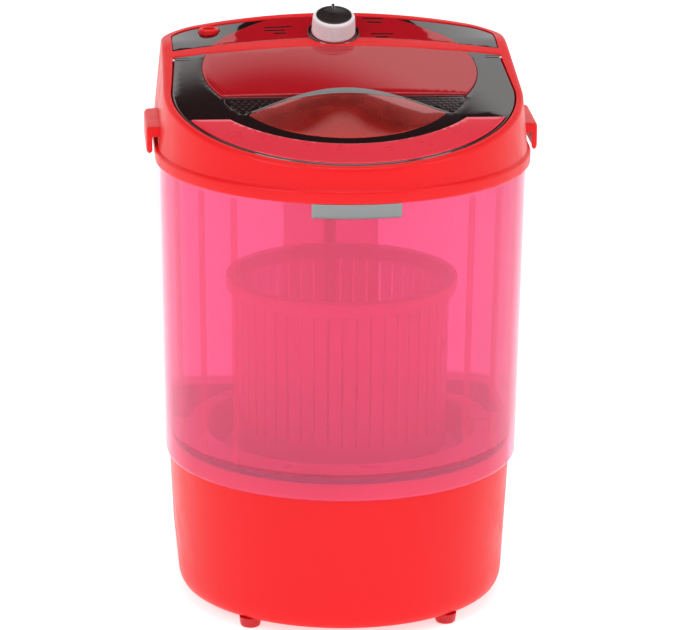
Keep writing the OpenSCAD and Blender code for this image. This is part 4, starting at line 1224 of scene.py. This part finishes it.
# ---------------------------------------------------------------- stage and light
WALL_TURN = math.radians(4.5)  # the camera looks this far round from the machine's own front
WALL_TOP = 0.5735  # sine of the wall's top, seen from the lid
WALL_BOW = 1.55  # how the wall's top rises to the sides


def make_stage():
    size = 40.0
    me = bpy.data.meshes.new("floor")
    corners = [(-size, -size, 0), (size, -size, 0), (size, size, 0), (-size, size, 0)]
    me.from_pydata(corners, [], [(0, 1, 2, 3)])
    floor = bpy.data.objects.new("floor", me)
    bpy.context.scene.collection.objects.link(floor)
    mat, nt = node_tree("floor_paint")
    out = add(nt, "ShaderNodeOutputMaterial")
    paint = add(nt, "ShaderNodeBsdfPrincipled")
    nt.links.new(ramp(nt, noise(nt, 3, 2), shades((0.90, 0.90, 0.90), 0.01)), paint.inputs["Base Color"])
    paint.inputs["Roughness"].default_value = 0.9
    paint.inputs["Emission Color"].default_value = (1, 1, 1, 1)
    paint.inputs["Emission Strength"].default_value = 0.6
    nt.links.new(paint.outputs[0], out.inputs["Surface"])
    me.materials.append(mat)


def maths(nt, kind, a, b):
    m = add(nt, "ShaderNodeMath", operation=kind)
    for socket, value in zip(m.inputs, (a, b)):
        if isinstance(value, (int, float)):
            socket.default_value = value
        else:
            nt.links.new(value, socket)
    return m.outputs[0]


def make_world():
    """What the glossy lid shows: a white wall behind, a dark gap above it, a lamp panel."""
    world = bpy.data.worlds.new("studio")
    world.use_nodes = True
    nt = world.node_tree
    nt.nodes.clear()
    out = add(nt, "ShaderNodeOutputWorld")
    back = add(nt, "ShaderNodeBackground")
    where = add(nt, "ShaderNodeTexCoord")
    turn = add(nt, "ShaderNodeMapping")
    turn.inputs["Rotation"].default_value = (0, 0, WALL_TURN)
    nt.links.new(where.outputs["Generated"], turn.inputs["Vector"])
    split = add(nt, "ShaderNodeSeparateXYZ")
    nt.links.new(turn.outputs[0], split.inputs[0])
    aside = maths(nt, "DIVIDE", split.outputs["X"], split.outputs["Y"])
    bow = maths(nt, "MINIMUM", maths(nt, "POWER", maths(nt, "ABSOLUTE", aside, 0), 2), 0.02)
    height = maths(nt, "SUBTRACT", split.outputs["Z"], maths(nt, "MULTIPLY", bow, WALL_BOW))
    grey = [(0.0, 1.0), (WALL_TOP - 0.15, 1.2), (WALL_TOP, 1.3), (WALL_TOP + 0.002, 0.05), (0.755, 0.05)]
    grey += [(0.80, 1.0), (0.88, 1.1), (1.0, 0.6)]
    behind = ramp(nt, height, [(at, (g * 0.75,) * 3) for at, g in grey])
    front = ramp(nt, split.outputs["Z"], [(0.0, (0.6,) * 3), (0.5, (0.55,) * 3), (1.0, (0.5,) * 3)])
    mix = add(nt, "ShaderNodeMix", data_type="RGBA")
    edge = add(nt, "ShaderNodeMapRange")
    edge.inputs["From Min"].default_value = -0.15
    edge.inputs["From Max"].default_value = 0.25
    nt.links.new(split.outputs["Y"], edge.inputs["Value"])
    nt.links.new(edge.outputs[0], mix.inputs["Factor"])
    nt.links.new(front, mix.inputs[6])
    nt.links.new(behind, mix.inputs[7])
    nt.links.new(mix.outputs[2], back.inputs["Color"])
    back.inputs["Strength"].default_value = 1.0
    nt.links.new(back.outputs[0], out.inputs["Surface"])
    bpy.context.scene.world = world


def softbox(name, at, aim, size, power, colour=(1, 1, 1)):
    data = bpy.data.lights.new(name, "AREA")
    data.shape = "RECTANGLE"
    data.size, data.size_y = size
    data.energy, data.color = power, colour
    lamp = bpy.data.objects.new(name, data)
    lamp.location = at
    lamp.rotation_mode = "QUATERNION"
    lamp.rotation_quaternion = (Vector(aim) - Vector(at)).to_track_quat("-Z", "Y")
    bpy.context.scene.collection.objects.link(lamp)


make_stage()
make_world()
softbox("key_left", (-1.9, -1.7, 1.9), (0, 0, 0.25), (1.1, 1.4), 20)
softbox("fill_right", (2.0, -1.3, 1.6), (0, 0, 0.25), (0.9, 1.3), 12)
softbox("overhead", (0.1, -0.4, 2.6), (0, 0, 0.4), (1.4, 1.0), 12)
view = bpy.context.scene.view_settings
view.view_transform = "Standard"
view.look = "None"
bpy.context.scene.cycles.transparent_max_bounces = 40
